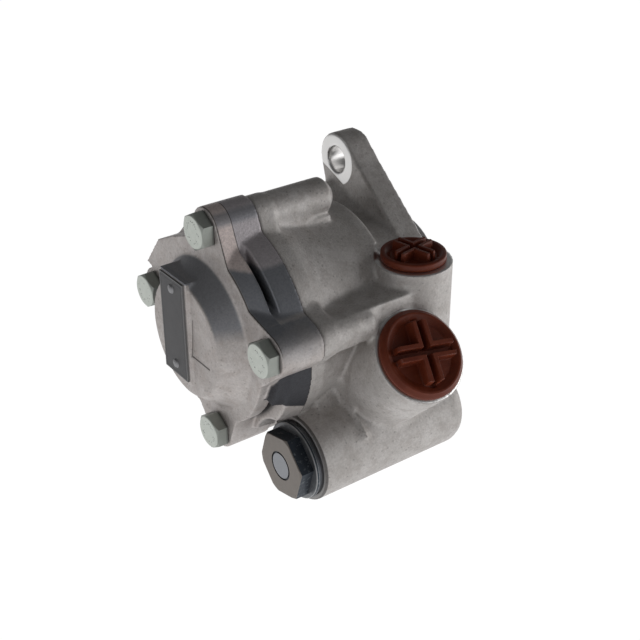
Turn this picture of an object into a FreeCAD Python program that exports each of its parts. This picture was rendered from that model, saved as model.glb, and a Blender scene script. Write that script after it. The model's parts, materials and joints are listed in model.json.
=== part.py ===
import FreeCAD, Part
import math
import os
import Sketcher

# Power steering pump of the vane type, flange mounted, with its flow control valve in the housing.
# Millimetres. The origin is the centre of the pilot on the mounting face. +X runs along the shaft and
# out of the drive side, +Z is up, and the rear cover lies at the -X end.

DOC = FreeCAD.newDocument("SteeringPump")

# Driving dimensions
SIZES = {
    # Pilot and mounting flange
    "pilot_radius": 22.0,
    "pilot_height": 6.0,
    "ring_groove_start": 1.0,
    "ring_groove_width": 2.8,
    "ring_groove_depth": 2.5,
    "ear_thickness": 11.0,
    "ear_reach": 49.0,
    "ear_angle": 58.5,
    "ear_radius": 11.0,
    "ear_hole_radius": 5.5,
    "tapped_hole_radius": 4.25,
    "tapped_hole_depth": 15.0,
    "hub_radius": 24.0,
    # Pump body
    "body_radius": 36.0,
    "body_front": 28.5,
    "parting": 73.0,
    "rim_radius": 42.5,
    "rim_width": 7.5,
    "nose_root_radius": 31.0,
    "nose_radius": 26.0,
    "ridge_radius": 6.6,
    "ridge_length": 27.0,
    "ridge_point": 3.0,
    "shelf_length": 42.0,
    "shelf_reach": 40.0,
    "shelf_width": 26.0,
    "shelf_top": 16.7,
    "shelf_height": 14.5,
    # Chamber and cartridge
    "chamber_radius": 29.8,
    "front_plate": 7.0,
    "cam_width": 20.0,
    "rear_plate": 7.6,
    "rear_plate_gap": 0.4,
    "cam_minor": 20.0,
    "cam_major": 22.6,
    "rotor_radius": 19.4,
    "vane_count": 10.0,
    "vane_thickness": 1.8,
    "vane_height": 7.2,
    "vane_travel": 1.9,
    "slot_root_radius": 1.3,
    "pin_radius": 2.0,
    "pin_reach": 26.6,
    "pin_into_housing": 4.0,
    "kidney_inner": 15.5,
    "kidney_width": 6.0,
    # Shaft, bearing and seal
    "shaft_radius": 8.5,
    "shaft_passage_gap": 0.6,
    "shaft_end": 16.0,
    "spline_radius": 7.73,
    "spline_length": 9.0,
    "spline_count": 9.0,
    "spline_groove_radius": 1.5,
    "rotor_seat_radius": 8.0,
    "seat_groove_count": 8.0,
    "seat_groove_radius": 1.3,
    "journal_radius": 7.0,
    "journal_length": 15.5,
    "collar_radius": 10.4,
    "collar_width": 4.0,
    "bearing_radius": 17.5,
    "bearing_width": 10.0,
    "bearing_front": 5.0,
    "ball_radius": 2.38,
    "ball_count": 10.0,
    "clip_thickness": 1.4,
    "clip_depth": 1.0,
    "seal_width": 7.0,
    "seal_recess": 2.0,
    "bush_wall": 1.5,
    # Rear cover
    "cover_thickness": 18.0,
    "front_band_radius": 36.5,
    "front_band_width": 6.5,
    "cover_slot_radius": 32.0,
    "cover_slot_width": 2.6,
    "rear_band_radius": 42.0,
    "rear_band_draft": 1.5,
    "boss_radius": 8.2,
    "dome_base_radius": 30.3,
    "dome_top_radius": 23.0,
    "dome_height": 9.4,
    "cavity_radius": 22.5,
    "cavity_depth": 20.0,
    "bush_boss_radius": 11.5,
    "seal_cord_radius": 0.8,
    "seal_circle": 31.4,
    # Cover bolts, by their place on the cover
    "bolt_radius": 4.0,
    "bolt_grip_in_housing": 16.0,
    "bolt_head_flats": 13.0,
    "bolt_head_height": 5.3,
    "top_bolt_y": -3.2,
    "top_bolt_z": 43.8,
    "far_bolt_y": 38.2,
    "far_bolt_z": 2.4,
    "near_bolt_y": -43.2,
    "near_bolt_z": 10.0,
    "low_bolt_y": -6.2,
    "low_bolt_z": -40.5,
    # Identification plate
    "plate_width": 16.4,
    "plate_height": 41.0,
    "plate_thickness": 0.8,
    "plate_pad_height": 1.3,
    "plate_pad_border": 1.0,
    "plate_y": 4.2,
    "plate_z": 4.0,
    "rivet_radius": 1.9,
    "rivet_spacing": 32.0,
    # Suction port, on an axis tilted from the vertical towards -Y
    "port_tilt": 45.0,
    "suction_x": 35.2,
    "suction_offset": 42.9,
    "suction_reach": 40.2,
    "suction_boss_radius": 18.6,
    "suction_bore_radius": 12.2,
    "suction_bore_depth": 19.0,
    "suction_cap_radius": 16.75,
    # Pressure port, on a vertical axis
    "pressure_x": 19.3,
    "pressure_y": 34.4,
    "pressure_top": 23.4,
    "pressure_boss_radius": 15.0,
    "pressure_bore_radius": 8.2,
    "pressure_bore_depth": 16.0,
    "pressure_cap_radius": 12.1,
    "cap_flange": 2.5,
    "cap_wall": 1.6,
    "cap_slot_width": 0.22,
    "cap_slot_reach": 0.72,
    "cap_slot_floor": 1.0,
    "cap_grip": 0.52,
    "suction_cap_depth": 11.0,
    "pressure_cap_depth": 9.0,
    # Flow control valve
    "valve_y": -35.5,
    "valve_z": -45.3,
    "valve_radius": 17.3,
    "valve_face": 74.0,
    "valve_end": 5.0,
    "neck_step": 4.0,
    "neck_root": 22.0,
    "neck_rear": 64.0,
    "neck_length": 52.0,
    "fin_rear": 55.5,
    "fin_thickness": 2.2,
    "fin_top": 12.0,
    "fin_foot": 6.0,
    "fin_reach": 31.0,
    "plug_flats": 24.0,
    "plug_hex_height": 5.9,
    "plug_collar_radius": 15.6,
    "plug_collar": 1.4,
    "plug_thread_radius": 10.0,
    "plug_thread_length": 12.0,
    "plug_spanner_room": 18.5,
    "washer_thickness": 1.2,
    "spool_radius": 8.0,
    "spool_length": 24.0,
    "spool_groove_start": 7.0,
    "spool_groove_width": 4.0,
    "spool_groove_depth": 2.0,
    "spool_stroke": 6.0,
    "spool_spring_room": 7.6,
    "spool_pocket_depth": 8.0,
    "plug_nose": 2.4,
    "plug_nose_radius": 5.0,
    "relief_bore_radius": 3.6,
    "relief_bore_depth": 13.0,
    "relief_seat_length": 5.0,
    "relief_seat_hole": 1.5,
    "relief_ball_radius": 2.4,
    "relief_coil_radius": 2.2,
    "relief_wire": 0.35,
    "spool_coil_radius": 4.6,
    "spool_wire": 0.8,
    "plate_wire": 0.9,
    # Clearances, seats and edges
    "edge": 0.5,
    "running_gap": 0.03,
    "side_gap": 0.04,
    "seat_gap": 0.02,
    "hole_gap": 0.5,
}


# Sizes with their expressions
class Size:
    """A length: its number, and the sheet expression that keeps a property bound to it."""

    def __init__(self, number, text):
        self.number = number
        self.text = text

    def __float__(self):
        return float(self.number)

    def __add__(self, other):
        return Size(float(self) + float(other), f"({self.text} + {words(other)})")

    def __radd__(self, other):
        return Size(float(other) + float(self), f"({words(other)} + {self.text})")

    def __sub__(self, other):
        return Size(float(self) - float(other), f"({self.text} - {words(other)})")

    def __rsub__(self, other):
        return Size(float(other) - float(self), f"({words(other)} - {self.text})")

    def __mul__(self, other):
        return Size(float(self) * float(other), f"({self.text} * {words(other)})")

    def __rmul__(self, other):
        return Size(float(other) * float(self), f"({words(other)} * {self.text})")

    def __truediv__(self, other):
        return Size(float(self) / float(other), f"({self.text} / {words(other)})")

    def __neg__(self):
        return Size(-float(self), f"(0 - {self.text})")


def words(value):
    """The expression text of a size, or a plain number as text."""
    return value.text if isinstance(value, Size) else repr(float(value))


class Sheet:
    """The spreadsheet's cells as sizes, read by name."""

    def __init__(self, sizes):
        self.cells = DOC.addObject("Spreadsheet::Sheet", "Sizes")
        for row, (name, value) in enumerate(sizes.items(), start=1):
            self.cells.set(f"A{row}", name)
            self.cells.set(f"B{row}", str(value))
            self.cells.setAlias(f"B{row}", name)
        DOC.recompute()

    def __getattr__(self, name):
        return Size(self.cells.get(name), f"Sizes.{name}")


S = Sheet(SIZES)

# Directions and turns
X = FreeCAD.Vector(1, 0, 0)
Y = FreeCAD.Vector(0, 1, 0)
Z = FreeCAD.Vector(0, 0, 1)
CENTRE = (0, 0, 0)
NO_TURN = FreeCAD.Rotation()
Z_ALONG_X = FreeCAD.Rotation(Y, 90)

# Places that several pieces share
PARTING = -S.parting
COVER_FACE = PARTING - S.cover_thickness
DOME_FACE = COVER_FACE - S.dome_height
CHAMBER_FLOOR = PARTING + S.rear_plate_gap + S.rear_plate + S.cam_width + S.front_plate
CAM_FRONT = CHAMBER_FLOOR - S.front_plate
CAM_REAR = CAM_FRONT - S.cam_width
REAR_PLATE_FACE = CAM_REAR - S.rear_plate
BEARING_REAR = -(S.bearing_front + S.bearing_width)
SPOOL_START = S.plug_thread_length + S.plug_nose + S.running_gap - S.valve_face
SPOOL_BORE_END = SPOOL_START + S.spool_length + S.spool_stroke + S.spool_spring_room
BOLTS = {
    "top": (S.top_bolt_y, S.top_bolt_z),
    "far": (S.far_bolt_y, S.far_bolt_z),
    "near": (S.near_bolt_y, S.near_bolt_z),
    "low": (S.low_bolt_y, S.low_bolt_z),
}
BODY_AXIS = (0, 0)
PORT_TURN = FreeCAD.Rotation(X, float(S.port_tilt))
PIN_ANGLES = (45.0, 225.0)
SUBPARTS = []


# Placing and joining
def place(thing, at, turn=NO_TURN):
    """Put an object at a point whose coordinates may be sizes."""
    thing.Placement = FreeCAD.Placement(FreeCAD.Vector(*[float(c) for c in at]), turn)
    for axis, value in zip("xyz", at):
        if isinstance(value, Size):
            thing.setExpression(f"Placement.Base.{axis}", value.text)
    return thing


def bind(thing, **sizes):
    """Give properties their numbers, and their expressions where they are sizes."""
    for name, value in sizes.items():
        setattr(thing, name, float(value))
        if isinstance(value, Size):
            thing.setExpression(name, value.text)
    return thing


def cylinder(name, radius, length, at=CENTRE, turn=Z_ALONG_X, sweep=360):
    """A round bar; it runs along +X unless it is turned another way."""
    bar = bind(DOC.addObject("Part::Cylinder", name), Radius=radius, Height=length, Angle=sweep)
    return place(bar, at, turn)


def cone(name, radius_1, radius_2, length, at=CENTRE, turn=Z_ALONG_X):
    """A cone from the first radius to the second along +X."""
    bar = bind(DOC.addObject("Part::Cone", name), Radius1=radius_1, Radius2=radius_2, Height=length)
    return place(bar, at, turn)


def block(name, size, at=CENTRE, turn=NO_TURN):
    """A box by its three sides, from one corner."""
    box = bind(DOC.addObject("Part::Box", name), Length=size[0], Width=size[1], Height=size[2])
    return place(box, at, turn)


def ring(name, radius, section, at=CENTRE, turn=Z_ALONG_X):
    """A torus about +X."""
    torus = bind(DOC.addObject("Part::Torus", name), Radius1=radius, Radius2=section)
    return place(torus, at, turn)


def ball(name, radius, at):
    """A sphere."""
    return place(bind(DOC.addObject("Part::Sphere", name), Radius=radius), at)


def fuse(name, pieces):
    """One piece from several that meet."""
    joined = DOC.addObject("Part::MultiFuse", name)
    joined.Shapes = pieces
    joined.Refine = True
    return joined


def cut(name, base, tools):
    """A piece with others taken out of it."""
    trimmed = DOC.addObject("Part::Cut", name)
    trimmed.Base = base
    trimmed.Tool = tools[0] if len(tools) == 1 else fuse(name + "_tools", tools)
    return trimmed


def common(name, pieces):
    """What several pieces share."""
    shared = DOC.addObject("Part::MultiCommon", name)
    shared.Shapes = pieces
    return shared


def group(name, pieces):
    """Separate solids kept in one node."""
    together = DOC.addObject("Part::Compound", name)
    together.Links = pieces
    return together


def subpart(node, thing):
    """Name a finished sub-part for its file."""
    thing.Label = node
    SUBPARTS.append(thing)
    return thing


# Sketched bodies
def sketch_on(body, name, plane, corners):
    """A closed outline on an origin plane, with each corner pinned to its sizes."""
    sketch = body.newObject("Sketcher::SketchObject", name)
    base = [f for f in body.Origin.OriginFeatures if f.Role == plane][0]
    sketch.AttachmentSupport = [(base, "")]
    sketch.MapMode = "FlatFace"
    points = [FreeCAD.Vector(float(a), float(b), 0) for a, b in corners]
    following = points[1:] + points[:1]
    sketch.addGeometry([Part.LineSegment(p, q) for p, q in zip(points, following)], False)
    for index, corner in enumerate(corners):
        after = (index + 1) % len(corners)
        sketch.addConstraint(Sketcher.Constraint("Coincident", index, 2, after, 1))
        for kind, value in zip(("DistanceX", "DistanceY"), corner):
            rule = Sketcher.Constraint(kind, -1, 1, index, 1, float(value))
            number = sketch.addConstraint(rule)
            if isinstance(value, Size):
                sketch.setExpression(f"Constraints[{number}]", value.text)
    return sketch


def turned(name, corners, at=CENTRE, turn=NO_TURN):
    """A piece turned about its own X axis from (along, radius) corners."""
    body = DOC.addObject("PartDesign::Body", name)
    sketch = sketch_on(body, name + "_profile", "XY_Plane", corners)
    spun = body.newObject("PartDesign::Revolution", name + "_turning")
    spun.Profile = sketch
    spun.ReferenceAxis = (sketch, ["H_Axis"])
    spun.Angle = 360
    return place(body, at, turn)


def padded(name, corners, length, at=CENTRE, turn=NO_TURN):
    """A plate of a straight-sided outline in Y and Z, drawn out along +X."""
    body = DOC.addObject("PartDesign::Body", name)
    sketch = sketch_on(body, name + "_outline", "YZ_Plane", corners)
    plate = bind(body.newObject("PartDesign::Pad", name + "_pad"), Length=length)
    plate.Profile = sketch
    return place(body, at, turn)


def hexagon(name, flats, length, at):
    """A hexagonal bar along +X, with one corner up."""
    prism = bind(DOC.addObject("Part::Prism", name), Circumradius=flats / math.sqrt(3), Height=length)
    prism.Polygon = 6
    return place(prism, at, Z_ALONG_X)


def web(name, first, first_radius, second, second_radius, start, length):
    """The straight-sided web that is tangent to two round bosses, drawn out along X."""
    a = FreeCAD.Vector(0, float(first[0]), float(first[1]))
    b = FreeCAD.Vector(0, float(second[0]), float(second[1]))
    along = b - a
    span = along.Length
    along.normalize()
    across = FreeCAD.Vector(0, -along.z, along.y)
    lean = (float(first_radius) - float(second_radius)) / span
    rise = math.sqrt(1 - lean * lean)
    outward = [along * lean + across * (rise * side) for side in (1, -1)]
    corners = [a + outward[0] * float(first_radius), b + outward[0] * float(second_radius),
               b + outward[1] * float(second_radius), a + outward[1] * float(first_radius)]
    face = Part.Face(Part.makePolygon(corners + corners[:1]))
    plate = DOC.addObject("Part::Feature", name)
    plate.Shape = face.extrude(X * float(length))
    return place(plate, (start, 0, 0))


def around(radius, angle):
    """A point on a circle about the shaft, as y and z."""
    return radius * math.cos(math.radians(angle)), radius * math.sin(math.radians(angle))


def even_angles(count):
    """The angles of so many places spread evenly about the shaft, in degrees."""
    return [360 / float(count) * number for number in range(int(float(count)))]


def ear_places():
    """The centres of the two fixing ears, opposite each other."""
    angle = float(S.ear_angle)
    return around(S.ear_reach, angle), around(S.ear_reach, angle + 180)


# The housing casting
def housing_castings():
    """The solid bosses, plates and webs that the housing is cast with."""
    upper, lower = ear_places()
    ear_start = -S.ear_thickness
    reach = S.suction_reach
    pieces = [
        turned("housing_body", [
            (PARTING, 0), (PARTING, S.rim_radius), (PARTING + S.rim_width, S.rim_radius - 1),
            (PARTING + S.rim_width + 3, S.body_radius), (-S.body_front - 2.5, S.body_radius),
            (-S.body_front - 0.8, S.body_radius - 0.8), (-S.body_front, S.body_radius - 2.5),
            (-S.body_front, S.nose_root_radius), (-S.body_front + 6, S.nose_radius),
            (-S.ear_thickness, S.nose_radius), (-S.ear_thickness, S.hub_radius), (0, S.hub_radius),
            (0, S.pilot_radius), (S.pilot_height - S.edge, S.pilot_radius),
            (S.pilot_height, S.pilot_radius - S.edge), (S.pilot_height, 0)]),
        cylinder("upper_ear", S.ear_radius, S.ear_thickness, (ear_start, *upper)),
        cylinder("lower_ear", S.ear_radius, S.ear_thickness, (ear_start, *lower)),
        web("upper_arm", upper, S.ear_radius, BODY_AXIS, S.hub_radius, ear_start, S.ear_thickness),
        web("lower_arm", lower, S.ear_radius, BODY_AXIS, S.hub_radius, ear_start, S.ear_thickness),
    ]
    flange_boss = S.boss_radius - 0.8
    for name, centre in BOLTS.items():
        straight = S.ridge_length - S.ridge_point
        foot = S.ridge_radius + S.ridge_point
        pieces.append(cylinder(f"{name}_flange_boss", flange_boss, S.rim_width, (PARTING, *centre)))
        pieces.append(web(f"{name}_flange_web", centre, flange_boss, BODY_AXIS, S.nose_root_radius,
                          PARTING, S.rim_width))
        pieces.append(cylinder(f"{name}_ridge", S.ridge_radius, straight, (PARTING, *centre)))
        pieces.append(cone(f"{name}_ridge_end", S.ridge_radius, S.ridge_radius - S.ridge_point,
                           S.ridge_point, (PARTING + straight, *centre)))
        pieces.append(web(f"{name}_ridge_web", centre, S.ridge_radius, BODY_AXIS, foot, PARTING, straight))
    pieces += [
        turned("valve_barrel", [
            (-S.valve_face, 0), (-S.valve_face, S.valve_radius - 0.6),
            (-S.valve_face + 0.6, S.valve_radius), (-S.valve_end - 5, S.valve_radius),
            (-S.valve_end - 2, S.valve_radius - 1.2), (-S.valve_end - 0.6, S.valve_radius - 3.2),
            (-S.valve_end, S.valve_radius - 6), (-S.valve_end, 0)], (0, S.valve_y, S.valve_z)),
        port_cylinder("suction_boss", S.suction_boss_radius, reach + 8, -8),
        cylinder("pressure_boss", S.pressure_boss_radius, S.pressure_top + 22,
                 (-S.pressure_x, -S.pressure_y, -22), NO_TURN),
        web("valve_neck", (S.valve_y, S.valve_z), S.valve_radius - S.neck_step, BODY_AXIS, S.neck_root,
            -S.neck_rear, S.neck_length),
        port_block("side_fin", (S.fin_thickness, S.fin_top + S.fin_foot, S.fin_reach),
                   (-S.fin_rear, -S.fin_foot, S.nose_root_radius)),
        block("near_shelf", (S.shelf_length, S.shelf_width, S.shelf_height),
              (PARTING + S.rim_width, -S.shelf_reach, S.shelf_top - S.shelf_height)),
    ]
    return fuse("housing_casting", pieces)


def port_cylinder(name, radius, length, start):
    """A round bar along the suction port's axis, from a height above the shaft's level on it."""
    along, across = port_axes()
    foot = across * float(S.suction_offset) + along * float(start)
    bar = bind(DOC.addObject("Part::Cylinder", name), Radius=radius, Height=length)
    return place(bar, (-S.suction_x, foot.y, foot.z), PORT_TURN)


def port_axes():
    """The suction port's outward direction, and the one square to it away from the shaft."""
    tilt = math.radians(float(S.port_tilt))
    along = FreeCAD.Vector(0, -math.sin(tilt), math.cos(tilt))
    return along, FreeCAD.Vector(0, -math.cos(tilt), -math.sin(tilt))


def port_block(name, size, at):
    """A box in the suction port's directions: X, along the port's axis, and away from the shaft."""
    along, across = port_axes()
    corner = along * float(at[1]) + across * float(at[2])
    turn = FreeCAD.Rotation(X, float(S.port_tilt) + 90)
    return block(name, size, (at[0], corner.y, corner.z), turn)


def housing_cuts():
    """The bores, threads' core holes and machined faces of the housing."""
    upper, lower = ear_places()
    clip = S.clip_thickness
    tools = [
        cylinder("chamber", S.chamber_radius, CHAMBER_FLOOR - PARTING + 1, (PARTING - 1, 0, 0)),
        cylinder("shaft_passage", S.collar_radius + S.shaft_passage_gap, S.parting,
                 (CHAMBER_FLOOR - 1, 0, 0)),
        cylinder("bearing_bore", S.bearing_radius, 40, (BEARING_REAR, 0, 0)),
        cylinder("clip_groove", S.bearing_radius + S.clip_depth, clip, (-S.bearing_front, 0, 0)),
        cut("pilot_groove", cylinder("groove_outer", S.pilot_radius + 5, S.ring_groove_width,
                                     (S.ring_groove_start, 0, 0)),
            [cylinder("groove_floor", S.pilot_radius - S.ring_groove_depth, 20, (-5, 0, 0))]),
        cylinder("ear_hole", S.ear_hole_radius, 60, (-40, *upper)),
        cylinder("ear_spot_face", S.ear_radius + 0.2, 30, (-S.ear_thickness - 30, *upper)),
        cylinder("tapped_hole", S.tapped_hole_radius, S.tapped_hole_depth + 5,
                 (-S.tapped_hole_depth, *lower)),
        cylinder("plug_bore", S.plug_thread_radius + S.seat_gap, S.plug_thread_length + 2,
                 (-S.valve_face - 1, S.valve_y, S.valve_z)),
        cylinder("spool_bore", S.spool_radius + S.running_gap, SPOOL_BORE_END + S.valve_face,
                 (-S.valve_face, S.valve_y, S.valve_z)),
        port_cylinder("suction_bore", S.suction_bore_radius, 40, S.suction_reach - S.suction_bore_depth),
        cylinder("pressure_bore", S.pressure_bore_radius, 40,
                 (-S.pressure_x, -S.pressure_y, S.pressure_top - S.pressure_bore_depth), NO_TURN),
    ]
    for name, centre in BOLTS.items():
        tools.append(cylinder(f"{name}_bolt_thread", S.bolt_radius + S.seat_gap,
                              S.bolt_grip_in_housing + 2, (PARTING - 1, *centre)))
    for number, angle in enumerate(PIN_ANGLES):
        tools.append(cylinder(f"pin_hole_{number}", S.pin_radius + S.seat_gap, S.pin_into_housing + 1,
                              (CHAMBER_FLOOR - 1, *around(S.pin_reach, angle))))
    return tools


def housing():
    """The pump housing: body, flange, ports and valve barrel in one casting."""
    subpart("pump_housing", cut("machined_housing", housing_castings(), housing_cuts()))


# The rear cover
def cover():
    """The rear cover: two bands with a slot between, four bosses and a dome with a plate pad."""
    width = S.cover_thickness
    rear_start = COVER_FACE + S.front_band_width + S.cover_slot_width
    pieces = [
        turned("cover_bands", [
            (DOME_FACE, 0), (DOME_FACE, S.dome_top_radius), (COVER_FACE, S.dome_base_radius),
            (COVER_FACE, S.front_band_radius), (rear_start - S.cover_slot_width, S.front_band_radius),
            (rear_start - S.cover_slot_width, S.cover_slot_radius), (rear_start, S.cover_slot_radius),
            (rear_start, S.rear_band_radius), (PARTING, S.rear_band_radius + S.rear_band_draft),
            (PARTING, 0)]),
        plate_pad(),
        padded("far_facet", [(36, 10), (44, 12), (33.5, 25.5), (21.5, 31.5), (8, 37), (8, 30)],
               S.front_band_width + 4, (COVER_FACE, 0, 0)),
    ]
    for name, centre in BOLTS.items():
        pieces.append(cylinder(f"{name}_boss", S.boss_radius, width, (COVER_FACE, *centre)))
        pieces.append(web(f"{name}_boss_web", centre, S.boss_radius, BODY_AXIS,
                          S.front_band_radius - 8, COVER_FACE, width))
    cord = S.seal_cord_radius
    tools = [
        cut("cover_cavity", cylinder("cavity_wall", S.cavity_radius, S.cavity_depth + 1,
                                     (PARTING - S.cavity_depth, 0, 0)),
            [cylinder("bush_boss", S.bush_boss_radius, 60, (PARTING - 60, 0, 0))]),
        cylinder("spanner_scallop", S.plug_spanner_room, 2 * width, (PARTING - 1.5 * width, S.valve_y,
                                                                    S.valve_z)),
        cylinder("bush_bore", S.journal_radius + S.bush_wall + S.seat_gap, S.cavity_depth + 1,
                 (PARTING - S.cavity_depth, 0, 0)),
        cut("seal_groove", cylinder("seal_groove_wall", S.seal_circle + cord + 0.3, 2 * cord + 1,
                                    (PARTING - 2 * cord, 0, 0)),
            [cylinder("seal_groove_core", S.seal_circle - cord - 0.3, 10, (PARTING - 5, 0, 0))]),
    ]
    for name, centre in BOLTS.items():
        tools.append(cylinder(f"{name}_bolt_hole", S.bolt_radius + S.hole_gap, width + 20,
                              (COVER_FACE - 10, *centre)))
        tools.append(cylinder(f"{name}_bolt_seat", S.boss_radius - 0.6, 10, (COVER_FACE - 10, *centre)))
    for number, rise in enumerate((1, -1)):
        tools.append(cylinder(f"rivet_hole_{number}", S.rivet_radius / 2, 6,
                              (DOME_FACE - S.plate_pad_height - 1, S.plate_y,
                               S.plate_z + rise * S.rivet_spacing / 2)))
    subpart("rear_cover", cut("machined_cover", fuse("cover_casting", pieces), tools))
    subpart("cover_seal", ring("cover_seal_cord", S.seal_circle, cord - S.seat_gap, (PARTING - cord, 0, 0)))


def plate_pad():
    """The raised pad on the dome that the identification plate is riveted to."""
    border = S.plate_pad_border
    size = (S.plate_pad_height + S.dome_height, S.plate_width + 2 * border, S.plate_height + 2 * border)
    corner = (DOME_FACE - S.plate_pad_height, S.plate_y - S.plate_width / 2 - border,
              S.plate_z - S.plate_height / 2 - border)
    return block("plate_pad", size, corner)


def identification_plate():
    """The bare plate and its two round-headed rivets."""
    face = DOME_FACE - S.plate_pad_height - S.plate_thickness
    plate = block("bare_plate", (S.plate_thickness, S.plate_width, S.plate_height),
                  (face, S.plate_y - S.plate_width / 2, S.plate_z - S.plate_height / 2))
    holes = []
    rivets = []
    for number, rise in enumerate((1, -1)):
        centre = (S.plate_y, S.plate_z + rise * S.rivet_spacing / 2)
        holes.append(cylinder(f"plate_hole_{number}", S.rivet_radius / 2, 10, (face - 5, *centre)))
        radius = S.rivet_radius
        rivets.append(turned(f"rivet_{number}", [
            (-0.9, 0), (-0.8, radius * 0.45), (-0.5, radius * 0.8), (0, radius),
            (0, radius / 2 - S.seat_gap), (3, radius / 2 - S.seat_gap), (3, 0)], (face, *centre)))
    subpart("identification_plate", cut("pierced_plate", plate, holes))
    subpart("plate_rivets", group("rivets", rivets))


def cover_bolts():
    """Four hexagon-headed bolts, each with a chamfered head and a washer face."""
    bolts = []
    height = S.bolt_head_height
    flats = S.bolt_head_flats
    for name, centre in BOLTS.items():
        head = common(f"{name}_bolt_head", [
            hexagon(f"{name}_bolt_hexagon", flats, height - 0.4, (COVER_FACE - height, *centre)),
            turned(f"{name}_bolt_chamfer", [
                (-height, 0), (-height, flats * 0.47), (1.2 - height, flats * 0.6), (0, flats * 0.6),
                (0, 0)], (COVER_FACE, *centre))])
        shank = turned(f"{name}_bolt_shank", [
            (-0.5, 0), (-0.5, flats * 0.46), (0, flats * 0.46), (0, S.bolt_radius),
            (S.cover_thickness + S.bolt_grip_in_housing - 1, S.bolt_radius),
            (S.cover_thickness + S.bolt_grip_in_housing, S.bolt_radius - 1),
            (S.cover_thickness + S.bolt_grip_in_housing, 0)], (COVER_FACE, *centre))
        bolts.append(fuse(f"{name}_bolt", [head, shank]))
    subpart("cover_bolts", group("bolts", bolts))


# The shaft and its bearings
def shaft():
    """The drive shaft: splined end, seal track, bearing seat, rotor seat and rear journal."""
    journal_end = CAM_REAR - S.rear_plate - S.rear_plate_gap - S.cavity_depth + 1.5
    rotor_start = CAM_REAR - 1
    bar = turned("shaft_bar", [
        (journal_end, 0), (journal_end, S.journal_radius - 0.8),
        (journal_end + 0.8, S.journal_radius), (rotor_start - 4, S.journal_radius),
        (rotor_start - 4, S.rotor_seat_radius), (CAM_FRONT + 3, S.rotor_seat_radius),
        (CAM_FRONT + 3, S.shaft_radius), (BEARING_REAR - S.collar_width, S.shaft_radius),
        (BEARING_REAR - S.collar_width, S.collar_radius), (BEARING_REAR, S.collar_radius),
        (BEARING_REAR, S.shaft_radius), (-S.bearing_front, S.shaft_radius),
        (-S.bearing_front, S.shaft_radius - S.clip_depth),
        (-S.bearing_front + S.clip_thickness, S.shaft_radius - S.clip_depth),
        (-S.bearing_front + S.clip_thickness, S.shaft_radius),
        (S.shaft_end - S.spline_length, S.shaft_radius),
        (S.shaft_end - S.spline_length + 0.8, S.spline_radius),
        (S.shaft_end - 1, S.spline_radius), (S.shaft_end, S.spline_radius - 1), (S.shaft_end, 0)])
    tools = []
    for number, angle in enumerate(even_angles(S.spline_count)):
        tools.append(cylinder(f"drive_groove_{number}", S.spline_groove_radius, S.spline_length * 2,
                              (S.shaft_end - S.spline_length + 1.2, *around(S.spline_radius + 0.5, angle))))
    for number, angle in enumerate(even_angles(S.seat_groove_count)):
        tools.append(cylinder(f"seat_groove_{number}", S.seat_groove_radius, S.cam_width + 4,
                              (CAM_REAR - 2, *around(S.rotor_seat_radius + 0.4, angle))))
    subpart("drive_shaft", cut("splined_shaft", bar, tools))


def radial_block(name, size, start, foot, angle):
    """A box along X that stands out from the shaft at an angle, from a height above the axis."""
    turn = FreeCAD.Rotation(X, angle)
    corner = turn.multVec(FreeCAD.Vector(0, float(foot), -float(size[2]) / 2))
    return block(name, size, (start, corner.y, corner.z), turn)


def rotor_and_vanes():
    """The slotted rotor on the shaft's spline, and its vanes drawn in to the cam's short arc."""
    width = S.cam_width - 2 * S.side_gap
    start = CAM_REAR + S.side_gap
    slot = S.vane_thickness + 2 * S.running_gap
    tip = S.cam_minor - S.side_gap
    root = tip - S.vane_height - S.vane_travel
    bore = cylinder("rotor_bore", S.rotor_seat_radius + S.running_gap, 40, (CAM_REAR - 5, 0, 0))
    ribs = [cylinder(f"bore_rib_{n}", S.seat_groove_radius - S.running_gap, 40,
                     (CAM_REAR - 5, *around(S.rotor_seat_radius + 0.4, angle)))
            for n, angle in enumerate(even_angles(S.seat_groove_count))]
    tools = [cut("splined_bore", bore, ribs)]
    for number, angle in enumerate(even_angles(S.vane_count)):
        tools.append(radial_block(f"slot_{number}", (40, S.rotor_radius, slot), CAM_REAR - 5, root, angle))
        tools.append(cylinder(f"slot_root_{number}", S.slot_root_radius, 40,
                              (CAM_REAR - 5, *around(root, angle))))
    disc = cylinder("rotor_disc", S.rotor_radius, width, (start, 0, 0))
    subpart("rotor", cut("slotted_rotor", disc, tools))
    base = tip - S.vane_height
    for number, angle in enumerate(even_angles(S.vane_count)):
        blade = radial_block(f"blade_{number}", (width, S.vane_height, S.vane_thickness), start, base, angle)
        nose = cylinder(f"vane_nose_{number}", S.vane_height, width + 2,
                        (start - 1, *around(base, angle)))
        subpart(f"vane_{number + 1}", common(f"vane_blade_{number}", [blade, nose]))


def cam_ring():
    """The ring whose inner wall rises twice a turn, from its short radius to its long one."""
    low = float(S.cam_minor)
    rise = float(S.cam_major) - low
    steps = 48
    wall = []
    for step in range(steps):
        turn = 2 * math.pi * step / steps
        reach = low + rise * (1 - math.cos(2 * turn)) / 2
        wall.append(FreeCAD.Vector(0, reach * math.cos(turn), reach * math.sin(turn)))
    curve = Part.BSplineCurve()
    curve.interpolate(Points=wall, PeriodicFlag=True)
    hollow = DOC.addObject("Part::Feature", "cam_hollow")
    hollow.Shape = Part.Face(Part.Wire(curve.toShape())).extrude(X * (float(S.cam_width) + 2))
    place(hollow, (CAM_REAR - 1, 0, 0))
    disc = cylinder("cam_disc", S.chamber_radius - S.seat_gap, S.cam_width, (CAM_REAR, 0, 0))
    subpart("cam_ring", cut("ground_cam", disc, [hollow, *pin_holes("cam")]))


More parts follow.
